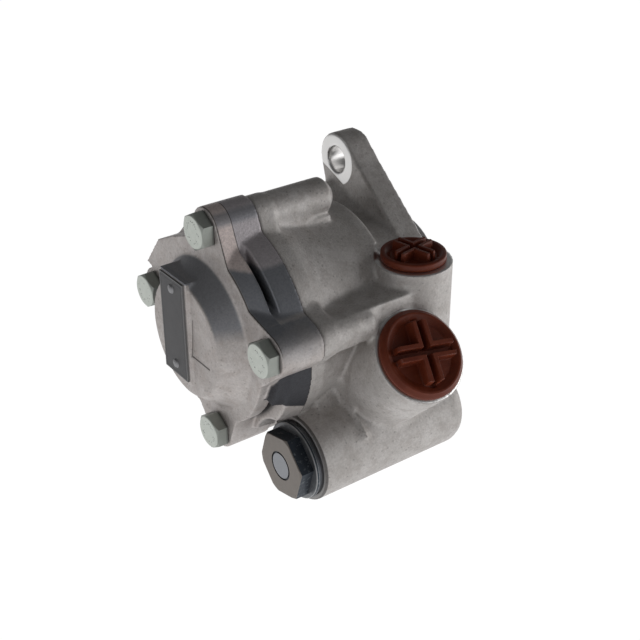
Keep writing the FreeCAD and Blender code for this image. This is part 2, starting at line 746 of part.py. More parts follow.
def pin_holes(name):
    """Two holes for the locating pins, right through the cartridge."""
    return [cylinder(f"{name}_pin_{n}", S.pin_radius + S.seat_gap, 60,
                     (REAR_PLATE_FACE - 5, *around(S.pin_reach, a))) for n, a in enumerate(PIN_ANGLES)]


def kidney(name, middle, sweep, start, length):
    """A kidney-shaped port: a stretch of a ring about the shaft."""
    spread = FreeCAD.Rotation(X, middle - sweep / 2)
    turn = spread.multiply(Z_ALONG_X).multiply(FreeCAD.Rotation(Z, 90))
    outer = cylinder(f"{name}_outer", S.kidney_inner + S.kidney_width, length, (start, 0, 0), turn, sweep)
    inner = cylinder(f"{name}_inner", S.kidney_inner, length + 2, (start - 1, 0, 0))
    return cut(name, outer, [inner])


def side_plates():
    """The two ported plates that close the cam ring, and the two pins that line them up."""
    for node, start, thickness in (("front_side_plate", CAM_FRONT, S.front_plate),
                                   ("pressure_plate", REAR_PLATE_FACE, S.rear_plate)):
        disc = cylinder(f"{node}_disc", S.chamber_radius - S.seat_gap, thickness, (start, 0, 0))
        tools = [cylinder(f"{node}_eye", S.shaft_radius + 0.6, thickness + 2, (start - 1, 0, 0))]
        tools += pin_holes(node)
        for number in range(4):
            tools.append(kidney(f"{node}_kidney_{number}", 90 * number + 40, 36, start - 1, thickness + 2))
        subpart(node, cut(f"ported_{node}", disc, tools))
    pins = [cylinder(f"pin_{n}", S.pin_radius, CHAMBER_FLOOR - REAR_PLATE_FACE + S.pin_into_housing - 1,
                     (REAR_PLATE_FACE + 0.5, *around(S.pin_reach, a))) for n, a in enumerate(PIN_ANGLES)]
    subpart("locating_pins", group("pins", pins))


def bearing():
    """The front ball bearing: two rings, a cage and its balls."""
    pitch = (S.bearing_radius + S.shaft_radius) / 2
    width = S.bearing_width
    middle = BEARING_REAR + width / 2
    track = S.ball_radius + 0.06
    inner = cylinder("inner_ring_bar", pitch - 1.5, width, (BEARING_REAR, 0, 0))
    subpart("bearing_inner_ring", cut("inner_ring", inner, [
        cylinder("inner_ring_bore", S.shaft_radius + S.seat_gap, 30, (BEARING_REAR - 5, 0, 0)),
        ring("inner_track", pitch, track, (middle, 0, 0))]))
    outer = cylinder("outer_ring_bar", S.bearing_radius - S.seat_gap, width, (BEARING_REAR, 0, 0))
    subpart("bearing_outer_ring", cut("outer_ring", outer, [
        cylinder("outer_ring_bore", pitch + 1.5, 30, (BEARING_REAR - 5, 0, 0)),
        ring("outer_track", pitch, track, (middle, 0, 0))]))
    balls = []
    pockets = [cylinder("cage_bore", pitch - 0.8, 30, (BEARING_REAR - 5, 0, 0))]
    for number, angle in enumerate(even_angles(S.ball_count)):
        spot = (middle, *around(pitch, angle))
        balls.append(ball(f"ball_{number}", S.ball_radius, spot))
        pockets.append(ball(f"pocket_{number}", S.ball_radius + 0.12, spot))
    cage = cylinder("cage_band", pitch + 0.8, width - 3, (BEARING_REAR + 1.5, 0, 0))
    subpart("bearing_cage", cut("ball_cage", cage, pockets))
    subpart("bearing_balls", group("balls", balls))


def seals_and_clips():
    """The bearing's and shaft's retaining rings, the shaft seal, the rear bush and the pilot's O-ring."""
    front = -S.bearing_front
    clip = cylinder("clip_band", S.bearing_radius + S.clip_depth - S.seat_gap, S.clip_thickness,
                    (front, 0, 0))
    subpart("bearing_circlip", cut("split_clip", clip, [
        cylinder("clip_eye", S.bearing_radius - 2.2, 10, (front - 2, 0, 0)),
        block("clip_gap", (10, 20, 8), (front - 2, 10, -4))]))
    small = cylinder("shaft_clip_band", S.shaft_radius + 1.8, S.clip_thickness, (front, 0, 0))
    subpart("shaft_circlip", cut("split_shaft_clip", small, [
        cylinder("shaft_clip_eye", S.shaft_radius - S.clip_depth + S.seat_gap, 10, (front - 2, 0, 0)),
        block("shaft_clip_gap", (10, 20, 5), (front - 2, 5, -2.5))]))
    seal_front = S.pilot_height - S.seal_recess
    width = S.seal_width
    outer = S.bearing_radius - S.seat_gap
    subpart("shaft_seal", turned("shaft_seal_ring", [
        (-width, outer), (0, outer), (0, S.shaft_radius + 1.6), (-1, S.shaft_radius + 0.6),
        (-3.2, S.shaft_radius + S.running_gap), (-4.6, S.shaft_radius + 0.9), (-5.2, S.shaft_radius + 2.6),
        (-1.8, S.shaft_radius + 3), (-1.8, outer - 1.6), (-width, outer - 1.6)], (seal_front, 0, 0)))
    bush = S.journal_radius + S.bush_wall
    start = PARTING - S.cavity_depth + 1
    subpart("rear_bush", cut("bush", cylinder("bush_bar", bush, S.journal_length, (start, 0, 0)), [
        cylinder("bush_eye", S.journal_radius + S.running_gap, 60, (start - 5, 0, 0))]))
    cord = (S.ring_groove_width - 0.4) / 2
    subpart("pilot_ring", ring("pilot_ring_cord", S.pilot_radius - cord, cord - 0.02,
                               (S.ring_groove_start + S.ring_groove_width / 2, 0, 0)))


# The flow control valve
def valve():
    """The plug with its washer, and the spool with its relief seat, ball and springs."""
    centre = (S.valve_y, S.valve_z)
    face = -S.valve_face
    hex_start = face - S.washer_thickness - S.plug_collar - S.plug_hex_height
    flats = S.plug_flats
    head = common("plug_head", [
        hexagon("plug_hexagon", flats, S.plug_hex_height, (hex_start, *centre)),
        turned("plug_chamfer", [
            (0, 0), (0, flats * 0.535), (0.9, flats * 0.6), (S.plug_hex_height, flats * 0.6),
            (S.plug_hex_height, 0)], (hex_start, *centre))])
    length = S.plug_hex_height + S.plug_collar
    tip = length + S.washer_thickness + S.plug_thread_length
    stem = turned("plug_stem", [
        (S.plug_hex_height, 0), (S.plug_hex_height, S.plug_collar_radius - 0.4),
        (S.plug_hex_height + 0.4, S.plug_collar_radius), (length, S.plug_collar_radius),
        (length, S.plug_thread_radius), (tip - 1, S.plug_thread_radius), (tip, S.plug_thread_radius - 1),
        (tip, S.plug_nose_radius), (tip + S.plug_nose, S.plug_nose_radius), (tip + S.plug_nose, 0)],
        (hex_start, *centre))
    mark = turned("plug_face_ring", [(-1, 5.2), (0.5, 5.2), (0.5, 5.9), (-1, 5.9)], (hex_start, *centre))
    subpart("valve_plug", cut("marked_plug", fuse("plug_blank", [head, stem]), [mark]))
    washer = cylinder("washer_disc", S.plug_collar_radius - 0.5, S.washer_thickness,
                      (face - S.washer_thickness, *centre))
    subpart("valve_plug_washer", cut("washer", washer, [
        cylinder("washer_eye", S.plug_thread_radius + 0.2, 10, (face - 5, *centre))]))
    spool(SPOOL_START, centre)


def spool(start, centre):
    """The spool slides on its bore; a seat, a ball and a spring inside it limit the pressure."""
    length = S.spool_length
    radius = S.spool_radius
    edge = S.edge
    groove = S.spool_groove_start
    groove_end = groove + S.spool_groove_width
    neck = radius - S.spool_groove_depth
    pocket = S.spool_pocket_depth
    bore = S.relief_bore_radius
    bar = turned("spool_bar", [
        (0, 0), (0, radius - edge), (edge, radius), (groove, radius), (groove, neck), (groove_end, neck),
        (groove_end, radius), (length - edge, radius), (length, radius - edge), (length, 0)],
        (start, *centre))
    subpart("flow_control_spool", cut("drilled_spool", bar, [
        cylinder("relief_bore", bore, S.relief_bore_depth + 1, (start - 1, *centre)),
        cylinder("spring_pocket", S.spool_coil_radius + S.spool_wire + 0.4, pocket + 1,
                 (start + length - pocket, *centre)),
        cylinder("relief_drain", 1.0, 4 * radius, (start + (groove + groove_end) / 2, S.valve_y,
                                                   S.valve_z - 2 * radius), NO_TURN)]))
    seat_end = S.edge + S.relief_seat_length
    seat = cylinder("seat_bar", bore - S.seat_gap, S.relief_seat_length, (start + S.edge, *centre))
    subpart("relief_seat", cut("drilled_seat", seat, [
        cylinder("seat_hole", S.relief_seat_hole, length, (start - 2, *centre))]))
    ball_radius = S.relief_ball_radius
    rest = math.sqrt(float(ball_radius) ** 2 - float(S.relief_seat_hole) ** 2)
    ball_x = seat_end + rest + S.seat_gap
    subpart("relief_ball", ball("relief_ball_body", ball_radius, (start + ball_x, *centre)))
    wire = S.relief_wire
    foot = ball_x + ball_radius + wire + 0.1
    coil("relief_spring", S.relief_coil_radius, wire, S.relief_bore_depth - foot - wire - 0.05, 5,
         (start + foot, *centre))
    wire = S.spool_wire
    foot = start + length - pocket + wire + 0.05
    coil("spool_spring", S.spool_coil_radius, wire, SPOOL_BORE_END - foot - wire - 0.05, 6, (foot, *centre))


def coil(node, radius, wire, length, turns, at):
    """A coil spring along +X: a round wire swept along a helix."""
    helix = bind(DOC.addObject("Part::Helix", node + "_helix"), Radius=radius, Height=length,
                 Pitch=length / turns)
    place(helix, CENTRE)
    section = bind(DOC.addObject("Part::Circle", node + "_wire"), Radius=wire)
    place(section, (radius, 0, 0), FreeCAD.Rotation(X, 90))
    DOC.recompute()
    swept = DOC.addObject("Part::Sweep", node + "_coil")
    swept.Sections = [section]
    swept.Spine = (helix, [f"Edge{n + 1}" for n in range(len(helix.Shape.Edges))])
    swept.Solid = True
    swept.Frenet = True
    subpart(node, place(swept, at, Z_ALONG_X))


def plate_spring():
    """The coil spring in the cover that holds the pressure plate against the cam ring."""
    wire = S.plate_wire
    start = PARTING - S.cavity_depth + wire + 0.05
    length = REAR_PLATE_FACE - start - wire - 0.05
    coil("plate_spring", (S.cavity_radius + S.bush_boss_radius) / 2, wire, length, 4, (start, 0, 0))


# Transport caps in the ports
def cap(name, radius, bore, depth):
    """A moulded plug: a dished flange, a hollow shank and a round grip split by a cross."""
    flange = S.cap_flange
    grip = radius * S.cap_grip
    shank = bore - S.edge
    blank = turned(name + "_blank", [
        (flange - 0.9, 0), (flange - 0.9, grip + 0.5), (flange - 0.2, radius * 0.86),
        (flange, radius - S.edge), (flange - S.edge, radius), (S.edge, radius), (0, radius - S.edge),
        (0, bore - S.seat_gap), (-depth, shank), (-depth, shank - S.cap_wall),
        (-S.cap_wall, shank - S.cap_wall), (-S.cap_wall, 0)])
    knob = turned(name + "_knob", [
        (0, 0), (0, grip), (flange + 0.3, grip), (flange + 1.0, grip - 1.0), (flange + 1.2, 0)])
    half = radius * S.cap_slot_reach
    width = radius * S.cap_slot_width
    slots = []
    for number, angle in enumerate((35, 125)):
        turn = FreeCAD.Rotation(X, angle)
        corner = turn.multVec(FreeCAD.Vector(0, -float(half), -float(width) / 2))
        slots.append(block(f"{name}_slot_{number}", (10, 2 * half, width),
                           (flange - S.cap_slot_floor, corner.y, corner.z), turn))
    return cut(name + "_split", fuse(name + "_body", [blank, knob]), slots)


def port_caps():
    """The two coloured plugs that close the ports until the pipes are fitted."""
    along, across = port_axes()
    foot = across * float(S.suction_offset) + along * float(S.suction_reach)
    upward = FreeCAD.Rotation(Y, -90)
    suction = cap("suction_cap", S.suction_cap_radius, S.suction_bore_radius, S.suction_cap_depth)
    place(suction, (-S.suction_x, foot.y, foot.z), PORT_TURN.multiply(upward))
    subpart("suction_port_cap", suction)
    pressure = cap("pressure_cap", S.pressure_cap_radius, S.pressure_bore_radius, S.pressure_cap_depth)
    subpart("pressure_port_cap", place(pressure, (-S.pressure_x, -S.pressure_y, S.pressure_top), upward))


# Build, check and write
def write_parts():
    """Check every object and each sub-part's shape, then write one file for each sub-part."""
    DOC.recompute()
    for thing in DOC.Objects:
        if "Invalid" in thing.State or "Error" in thing.State:
            raise RuntimeError(f"{thing.Name} failed to build")
    for thing in SUBPARTS:
        if thing.Shape.isNull() or not thing.Shape.isValid() or not thing.Shape.Solids:
            raise RuntimeError(f"{thing.Label} has no valid solid")
    os.makedirs("parts", exist_ok=True)
    for thing in SUBPARTS:
        thing.Shape.exportStep(f"parts/{thing.Label}.step")
        print(f"{thing.Label}: {len(thing.Shape.Solids)} solid(s), {thing.Shape.Volume:.1f} mm3")


housing()
cover()
identification_plate()
cover_bolts()
shaft()
rotor_and_vanes()
cam_ring()
side_plates()
bearing()
seals_and_clips()
valve()
plate_spring()
port_caps()
write_parts()
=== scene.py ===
import json
import math

import bmesh
import bpy
import numpy as np
from mathutils import Matrix, Vector


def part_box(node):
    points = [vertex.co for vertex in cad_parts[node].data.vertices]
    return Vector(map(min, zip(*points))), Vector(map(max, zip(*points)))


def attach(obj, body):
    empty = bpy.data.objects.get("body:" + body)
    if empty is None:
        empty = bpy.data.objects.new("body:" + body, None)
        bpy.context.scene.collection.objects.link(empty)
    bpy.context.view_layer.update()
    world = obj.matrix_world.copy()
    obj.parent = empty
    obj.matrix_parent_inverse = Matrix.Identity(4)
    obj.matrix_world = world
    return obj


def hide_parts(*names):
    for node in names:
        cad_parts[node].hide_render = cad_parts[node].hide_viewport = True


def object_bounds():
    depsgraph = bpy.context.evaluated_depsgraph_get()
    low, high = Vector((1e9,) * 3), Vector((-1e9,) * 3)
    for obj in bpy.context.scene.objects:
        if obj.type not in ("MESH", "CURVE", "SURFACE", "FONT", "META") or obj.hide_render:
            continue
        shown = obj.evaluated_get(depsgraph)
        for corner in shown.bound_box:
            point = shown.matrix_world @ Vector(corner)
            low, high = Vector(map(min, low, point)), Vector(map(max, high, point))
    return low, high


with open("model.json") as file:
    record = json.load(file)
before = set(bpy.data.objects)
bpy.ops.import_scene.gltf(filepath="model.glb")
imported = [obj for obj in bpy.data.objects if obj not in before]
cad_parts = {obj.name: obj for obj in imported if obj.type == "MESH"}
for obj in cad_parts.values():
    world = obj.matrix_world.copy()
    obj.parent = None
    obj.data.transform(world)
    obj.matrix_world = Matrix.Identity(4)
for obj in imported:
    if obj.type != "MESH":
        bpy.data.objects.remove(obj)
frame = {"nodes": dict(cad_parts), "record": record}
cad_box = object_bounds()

# Places on the pump, in millimetres from the pilot's centre, read from the frame where a mount gives them
MM = 0.001
MOUNTS = {mount["name"]: mount for mount in frame["record"]["mounts"]}
PARTING_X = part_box("rear_cover")[1].x / MM
COVER_X = PARTING_X - 18.0
SLOT_X = COVER_X + 6.6
DOME_X = COVER_X - 9.4
PLATE_TOP_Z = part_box("identification_plate")[1].z / MM
VALVE_YZ = tuple((a + b) / 2 / MM for a, b in zip(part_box("valve_plug")[0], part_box("valve_plug")[1]))[1:]
PLUG_FACE_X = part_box("valve_plug")[0].x / MM
EAR_YZ = tuple(c / MM for c in MOUNTS["ear_hole"]["pos_m"][1:])
TAPPED_YZ = tuple(c / MM for c in MOUNTS["tapped_hole"]["pos_m"][1:])
SUCTION_FOOT = np.array(MOUNTS["suction_port"]["pos_m"]) / MM
SUCTION_AXIS = np.array(MOUNTS["suction_port"]["axis"])
PRESSURE_FOOT = np.array(MOUNTS["pressure_port"]["pos_m"]) / MM
TOP_BOLT_YZ = (-3.2, 43.8)
BOLTS_YZ = (TOP_BOLT_YZ, (38.2, 2.4), (-43.2, 10.0), (-6.2, -40.5))
NEAR_BOLT = 2
AXIS_X = np.array((1.0, 0.0, 0.0))
AXIS_Y = np.array((0.0, 1.0, 0.0))
AXIS_Z = np.array((0.0, 0.0, 1.0))


# Shader sums
class Wire:
    """A shader socket that takes part in sums: each operator adds one Math node."""

    def __init__(self, finish, socket):
        self.finish = finish
        self.socket = socket

    def math(self, operation, *others, **settings):
        return self.finish.node("Math", dict(operation=operation, **settings), [self, *others])

    def __add__(self, other):
        return self.math("ADD", other)

    def __sub__(self, other):
        return self.math("SUBTRACT", other)

    def __mul__(self, other):
        return self.math("MULTIPLY", other)

    def __truediv__(self, other):
        return self.math("DIVIDE", other)

    def __radd__(self, other):
        return self + other

    def __rmul__(self, other):
        return self * other

    def __rsub__(self, other):
        return self.finish.node("Math", {"operation": "SUBTRACT"}, [other, self])

    def __neg__(self):
        return self * -1.0

    def __abs__(self):
        return self.math("ABSOLUTE")

    def below(self, edge, soft=0.2):
        """1 where the value is under the edge, falling to 0 over a soft width."""
        return ((edge - self) / soft + 0.5).math("MINIMUM", 1.0).math("MAXIMUM", 0.0)

    def above(self, edge, soft=0.2):
        """1 where the value is over the edge."""
        return 1.0 - self.below(edge, soft)

    def between(self, low, high, soft=0.2):
        """1 where the value lies between two edges."""
        return self.above(low, soft) * self.below(high, soft)

    def ramp(self, *stops, **settings):
        """A colour by value, from (place, grey or colour) stops."""
        colours = [(place, (tone,) * 3 if isinstance(tone, float) else tone) for place, tone in stops]
        return self.finish.node("ValToRGB", {"stops": colours, **settings}, [self])


class Finish:
    """One material: its nodes are added by calls, and the shader is set at the end."""

    def __init__(self, name):
        self.material = bpy.data.materials.new(name)
        self.material.use_nodes = True
        self.tree = self.material.node_tree
        self.tree.nodes.clear()
        self.place = self.node("TexCoord", {}, [], out="Object")
        self.mm = self.node("VectorMath", {"operation": "SCALE"}, [self.place], scale=1 / MM)
        parts = self.tree.nodes.new("ShaderNodeSeparateXYZ")
        self.tree.links.new(parts.inputs[0], self.mm.socket)
        self.x, self.y, self.z = (Wire(self, parts.outputs[n]) for n in range(3))

    def node(self, kind, settings, values, out=0, **named):
        """Add a node: its settings first, then the values or links of its sockets."""
        made = self.tree.nodes.new("ShaderNode" + kind)
        for key, value in settings.items():
            if key == "stops":
                set_stops(made.color_ramp, value)
            else:
                setattr(made, key, value)
        for index, value in list(enumerate(values)) + [(spaced(key), v) for key, v in named.items()]:
            if isinstance(value, Wire):
                self.tree.links.new(made.inputs[index], value.socket)
            elif value is not None:
                made.inputs[index].default_value = value
        return Wire(self, made.outputs[out])

    def noise(self, size, detail=2.0, roughness=0.5, stretch=(1.0, 1.0, 1.0)):
        """Soft cloudy noise from 0 to 1 whose patches are about so many millimetres across."""
        source = self.node("VectorMath", {"operation": "MULTIPLY"}, [self.mm, stretch])
        return self.node("TexNoise", {}, [], Vector=source, Scale=1 / size, Detail=detail,
                         Roughness=roughness)

    def grains(self, size):
        """The distance to the nearest of scattered grains, about so many millimetres apart."""
        return self.node("TexVoronoi", {}, [], Vector=self.mm, Scale=1 / size)

    def mix(self, share, first, second):
        """Two colours mixed."""
        made = self.tree.nodes.new("ShaderNodeMix")
        made.data_type = "RGBA"
        for index, value in ((0, share), (6, first), (7, second)):
            if isinstance(value, Wire):
                self.tree.links.new(made.inputs[index], value.socket)
            else:
                made.inputs[index].default_value = value if index == 0 else rgba(value)
        return Wire(self, made.outputs[2])

    def tint(self, colour, factor):
        """A colour made lighter or darker by a number."""
        return self.node("VectorMath", {"operation": "SCALE"}, [colour if isinstance(colour, Wire)
                                                               else tuple(colour)], scale=factor)

    def radius(self, yz):
        """The distance from an axis along X, in millimetres."""
        dy = self.y - yz[0]
        dz = self.z - yz[1]
        return (dy * dy + dz * dz).math("SQRT")

    def from_axis(self, foot, axis):
        """The height along a port's axis from its foot, and the distance from that axis."""
        offset = self.node("VectorMath", {"operation": "SUBTRACT"}, [self.mm, tuple(foot)])
        height = self.node("VectorMath", {"operation": "DOT_PRODUCT"}, [offset, tuple(axis)], out="Value")
        length = self.node("VectorMath", {"operation": "LENGTH"}, [offset], out="Value")
        return height, (length * length - height * height).math("MAXIMUM", 0.0).math("SQRT")

    def bump(self, height, strength=0.4, distance=0.0002):
        """A normal from a height whose full range stands so many metres high."""
        return self.node("Bump", {}, [], Strength=strength, Distance=distance, Height=height)

    def surface(self, colour, roughness, metallic=0.0, normal=None, **constants):
        """Set the shader and give the material."""
        shader = self.tree.nodes.new("ShaderNodeBsdfPrincipled")
        sockets = {"Base Color": colour, "Roughness": roughness, "Metallic": metallic, "Normal": normal}
        sockets.update({spaced(key): value for key, value in constants.items()})
        for key, value in sockets.items():
            if isinstance(value, Wire):
                self.tree.links.new(shader.inputs[key], value.socket)
            elif value is not None:
                shader.inputs[key].default_value = rgba(value) if key == "Base Color" else value
        output = self.tree.nodes.new("ShaderNodeOutputMaterial")
        self.tree.links.new(output.inputs["Surface"], shader.outputs[0])
        return self.material


def spaced(key):
    """A socket's name from a keyword."""
    return key.replace("_", " ") if key != "scale" else "Scale"


def rgba(colour):
    """A colour with its alpha."""
    return (*colour, 1.0)


def set_stops(ramp, stops):
    """Fill a colour ramp from (place, colour) pairs."""
    while len(ramp.elements) < len(stops):
        ramp.elements.new(0.5)
    for element, (place, colour) in zip(ramp.elements, stops):
        element.position = place
        element.color = rgba(colour)


# Metal finishes
def skin_of(f, light, dark, brown):
    """Cast skin: broad clouds, brownish stains a few millimetres wide and a fine dark and light grain."""
    cloud = f.noise(13.0, 4.0, 0.6)
    stain = f.noise(4.5, 5.0, 0.72)
    grain = f.noise(0.8, 3.0, 0.7)
    colour = f.mix(cloud.ramp((0.35, 0.0), (0.65, 1.0)), dark, light)
    colour = f.mix(stain.above(0.54, 0.16) * 0.5, colour, brown)
    pits = f.grains(2.3).below(0.16, 0.12) * stain.above(0.46, 0.1)
    return f.tint(colour, (grain * 0.62 + 0.7) * (1.0 - pits * 0.28)), cloud, grain


def blasted_casting():
    """Sand-cast aluminium of the housing, blasted, with machined faces bright."""
    f = Finish("blasted casting")
    colour, cloud, grain = skin_of(f, (0.60, 0.577, 0.562), (0.49, 0.467, 0.45), (0.40, 0.367, 0.348))
    ear = f.radius(EAR_YZ)
    spot_face = ear.below(10.6, 0.3) * f.x.between(-11.4, -10.6, 0.2)
    spot_face = spot_face * ((f.z - EAR_YZ[1]) - (f.y - EAR_YZ[0]) * 0.36).above(-7.4, 0.4)
    ear_wall = ear.below(5.9, 0.3)
    height, off = f.from_axis(PRESSURE_FOOT, AXIS_Z)
    boss_face = off.below(14.9, 0.3) * height.above(-0.25, 0.15)
    height, off = f.from_axis(SUCTION_FOOT, SUCTION_AXIS)
    boss_face = boss_face.math("MAXIMUM", off.below(18.3, 0.3) * height.above(-0.25, 0.15))
    shaft = f.radius((0.0, 0.0))
    front = f.x.above(-0.15, 0.1) + shaft.below(18.5, 0.4) * f.x.above(-40.0, 0.5)
    barrel_face = f.radius(VALVE_YZ).below(17.0, 0.3) * f.x.below(-73.75, 0.15)
    machined = (spot_face + ear_wall + boss_face + front + barrel_face).math("MINIMUM", 1.0)
    turning = f.node("TexWave", {"wave_type": "RINGS", "rings_direction": "X"}, [],
                     Vector=f.node("VectorMath", {"operation": "SUBTRACT"}, [f.mm, (0.0, *EAR_YZ)]),
                     Scale=1.1, Distortion=0.4, Detail=1.0)
    colour = f.mix(machined, colour, (0.78, 0.77, 0.76))
    joint = f.x.below(PARTING_X + 0.35, 0.2) * shaft.above(34.0, 1.0)
    colour = f.mix(joint * 0.75, colour, (0.05, 0.045, 0.045))
    skin = f.noise(0.9, 4.0, 0.65) * 0.9 + grain * 0.4
    relief = skin * (1.0 - machined) + turning * 0.06 * machined
    roughness = (0.54 + cloud * 0.08) * (1.0 - machined) + machined * 0.3
    metallic = 0.62 + machined * 0.33
    return f.surface(colour, roughness, metallic, f.bump(relief, 0.5, 0.00028))


def cover_casting():
    """The rear cover's casting: pinkish and mottled on its front band, with a slate colour painted on the
    smoother tooled sides as a dark reflection, painted shadow in the slot behind the band and on the facet
    under the near bolt, dark hairlines where the tool's parts met and a cast line on the dome."""
    f = Finish("cover casting")
    colour, cloud, grain = skin_of(f, (0.60, 0.565, 0.55), (0.48, 0.445, 0.43), (0.42, 0.37, 0.345))
    shaft = f.radius((0.0, 0.0))
    height = f.x - DOME_X
    near = f.y.below(-1.0, 3.0)
    rough_edge = (cloud - 0.5) * 2.0
    low_front = (f.z + rough_edge).between(19.0, 33.0, 1.2)
    low_rear = (f.z + f.y * 0.12 + rough_edge).between(15.0, 31.0, 1.6)
    front_band = f.x.between(COVER_X + 0.6, SLOT_X, 0.4) * shaft.above(32.0, 0.8)
    rear_block = f.x.above(SLOT_X, 0.3) * shaft.above(33.0, 0.8)
    pink = front_band * f.z.above(30.0, 4.0) * near
    colour = f.mix(pink * 0.75, colour, f.tint((0.70, 0.60, 0.575), grain * 0.9 + 0.55))
    mauve = rear_block * f.z.above(30.0, 3.0)
    colour = f.mix(mauve * 0.75, colour, f.tint((0.46, 0.43, 0.46), grain * 0.7 + 0.65))
    # Painted dark reflection: the slate colour stands for dark surroundings mirrored on the dome's cone (its
    # upper side), a band across the near side of the front band and rear block, the near bolt's boss (more
    # towards its top), a spot by the top bolt and the dome's face above the plate.
    cone = shaft.between(23.3, 30.0, 0.8) * height.between(0.3, 9.1, 0.5)
    cone_side = (f.z + f.y * 0.2 - 6.0 + (cloud - 0.5) * 5.0).above(0.0, 5.0)
    slate = cone * cone_side * 0.85 + front_band * low_front * near + rear_block * low_rear * near
    reflection_spot_yz = (TOP_BOLT_YZ[0] - 5.6, TOP_BOLT_YZ[1] + 4.4)
    slate = slate + f.radius(reflection_spot_yz).below(2.6, 1.6) * f.x.above(COVER_X + 0.6, 0.5) * 0.75
    # Painted shade: the facet block under the near bolt, in the gap between the cover and the valve barrel,
    # is painted near black.
    facet = (f.x - f.z * 0.18).above(-85.3, 0.4) * f.x.below(-69.3, 0.4)
    facet = facet * shaft.above(30.0, 1.0) * f.y.below(-30.0, 1.0)
    facet = facet * (f.z + f.x * 0.1).below(-8.0, 0.5) * (f.z + f.x * 0.376).above(-47.6, 0.4)
    near_boss = f.radius(BOLTS_YZ[NEAR_BOLT]).below(9.6, 0.8) * f.x.above(COVER_X + 0.5, 0.3)
    slate = slate + near_boss * ((f.z - 11.0) / 9.0 + 0.3 + (cloud - 0.5) * 1.6).math("MAXIMUM", 0.0) * 0.7
    slate = slate + f.x.below(DOME_X + 0.8, 0.3) * f.z.above(PLATE_TOP_Z + 0.25, 0.2) * 0.9
    slate = slate.math("MINIMUM", 1.0).math("MAXIMUM", 0.0)
    # The colour of the painted dark reflection, mixed in over the masks above.
    reflection_tone = f.tint((0.29, 0.30, 0.33), grain * 0.55 + 0.6)
    colour = f.mix(slate, colour, reflection_tone)
    # Painted shadow: the slot between the front band and the rear block is painted near black.
    slot_shadow = f.x.between(SLOT_X, SLOT_X + 2.8, 0.3) * shaft.below(37.0, 2.0) * shaft.above(27.0, 1.0)
    colour = f.mix(slot_shadow * 0.9, colour, (0.03, 0.03, 0.034))
    # The facet's painted shade.
    colour = f.mix(facet, colour, f.tint((0.055, 0.056, 0.064), grain * 0.7 + 0.6))
    hair = f.x.between(COVER_X + 0.25, COVER_X + 0.6, 0.12) * shaft.above(33.5, 0.5) * f.z.above(14.0, 2.0)
    hair = hair + f.x.between(SLOT_X - 0.15, SLOT_X + 0.2, 0.12) * f.z.above(33.0, 0.5)
    hair = hair + f.x.above(PARTING_X - 0.35, 0.2) * shaft.above(34.0, 1.0)
    dome = f.x.below(DOME_X + 0.3, 0.1)
    foot_line = (f.z + 5.1).between(-0.42, 0.42, 0.12) * f.y.between(-17.4, -5.6, 0.3)
    side_line = (f.y + f.z * 0.08 + 5.9).between(-0.26, 0.26, 0.12) * f.z.between(-5.4, 11.0, 0.4) * 0.8
    groove = dome * (foot_line + side_line).math("MINIMUM", 1.0)
    colour = f.mix((hair * 0.8 * near + groove * 0.8).math("MINIMUM", 1.0), colour, (0.05, 0.042, 0.04))
    streak = f.noise(1.4, 3.0, 0.6, (0.12, 1.0, 1.0))
    skin = (f.noise(0.8, 4.0, 0.65) + grain * 0.5) * (1.0 - slate * 0.6) + streak * 0.3 - groove * 2.0
    roughness = 0.48 - slate * 0.1 + cloud * 0.08
    return f.surface(colour, roughness, 0.62, f.bump(skin, 0.4, 0.00025))


def zinc(name):
    """Pale green-white zinc of the bolts, with painted shade on the flats and shank so that the heads' faces
    read as lit, a painted shadow where each bolt meets the cover, and a ring of dark specks on each head.
    """
    f = Finish(name)
    cloud = f.noise(2.2, 3.0, 0.6)
    colour = f.mix(cloud, (0.52, 0.56, 0.51), (0.68, 0.71, 0.66))
    off = f.radius(BOLTS_YZ[0])
    for bolt in BOLTS_YZ[1:]:
        off = off.math("MINIMUM", f.radius(bolt))
    specks = f.grains(0.8).below(0.34, 0.1) * f.noise(2.0, 1.0).above(0.47, 0.08)
    # Painted shade: everything but the heads' faces is darkened, leaving the faces light as if lit.
    face = f.x.below(COVER_X - 5.1, 0.15)
    colour = f.tint(colour, face * 0.42 + 0.58)
    # Painted shadow: the bolts darken where they meet the cover.
    foot = f.x.above(COVER_X - 1.0, 0.8)
    colour = f.mix(foot * 0.6, colour, (0.09, 0.1, 0.095))
    colour = f.mix(specks * face * off.between(3.1, 4.6, 0.4) * 0.85, colour, (0.12, 0.13, 0.12))
    edge = f.noise(0.7, 2.0)
    roughness = 0.34 + cloud * 0.12 - face * 0.04
    return f.surface(colour, roughness, 0.55, f.bump(edge, 0.15, 0.0001))


def oxide_plug():
    """Turned steel with a brownish face, a pale centre and blue-black flanks with bright edges."""
    f = Finish("plug steel")
    off = f.radius(VALVE_YZ)
    height = f.x - PLUG_FACE_X
    cloud = f.noise(3.0, 3.0, 0.6)
    face = height.below(0.5, 0.15)
    centre = off.below(5.2, 0.15)
    groove = off.between(5.15, 5.95, 0.12)
    front = f.mix(cloud, (0.185, 0.165, 0.15), (0.27, 0.245, 0.225))
    front = f.mix(centre, front, f.mix(cloud, (0.27, 0.28, 0.30), (0.35, 0.36, 0.385)))
    front = f.mix(groove, front, (0.05, 0.05, 0.055))
    worn = f.noise(1.6, 4.0, 0.7)
    flank = f.mix(worn.above(0.6, 0.1) * 0.45, (0.045, 0.055, 0.07), (0.33, 0.35, 0.37))
    rings = height.between(5.9, 6.2, 0.1) + height.between(6.9, 7.1, 0.1)
    flank = f.mix(rings.math("MINIMUM", 1.0) * 0.7, flank, (0.45, 0.45, 0.45))
    colour = f.mix(face, flank, front)
    roughness = 0.36 + cloud * 0.12 + face * 0.06
    return f.surface(colour, roughness, 0.8, f.bump(worn, 0.2, 0.0001))


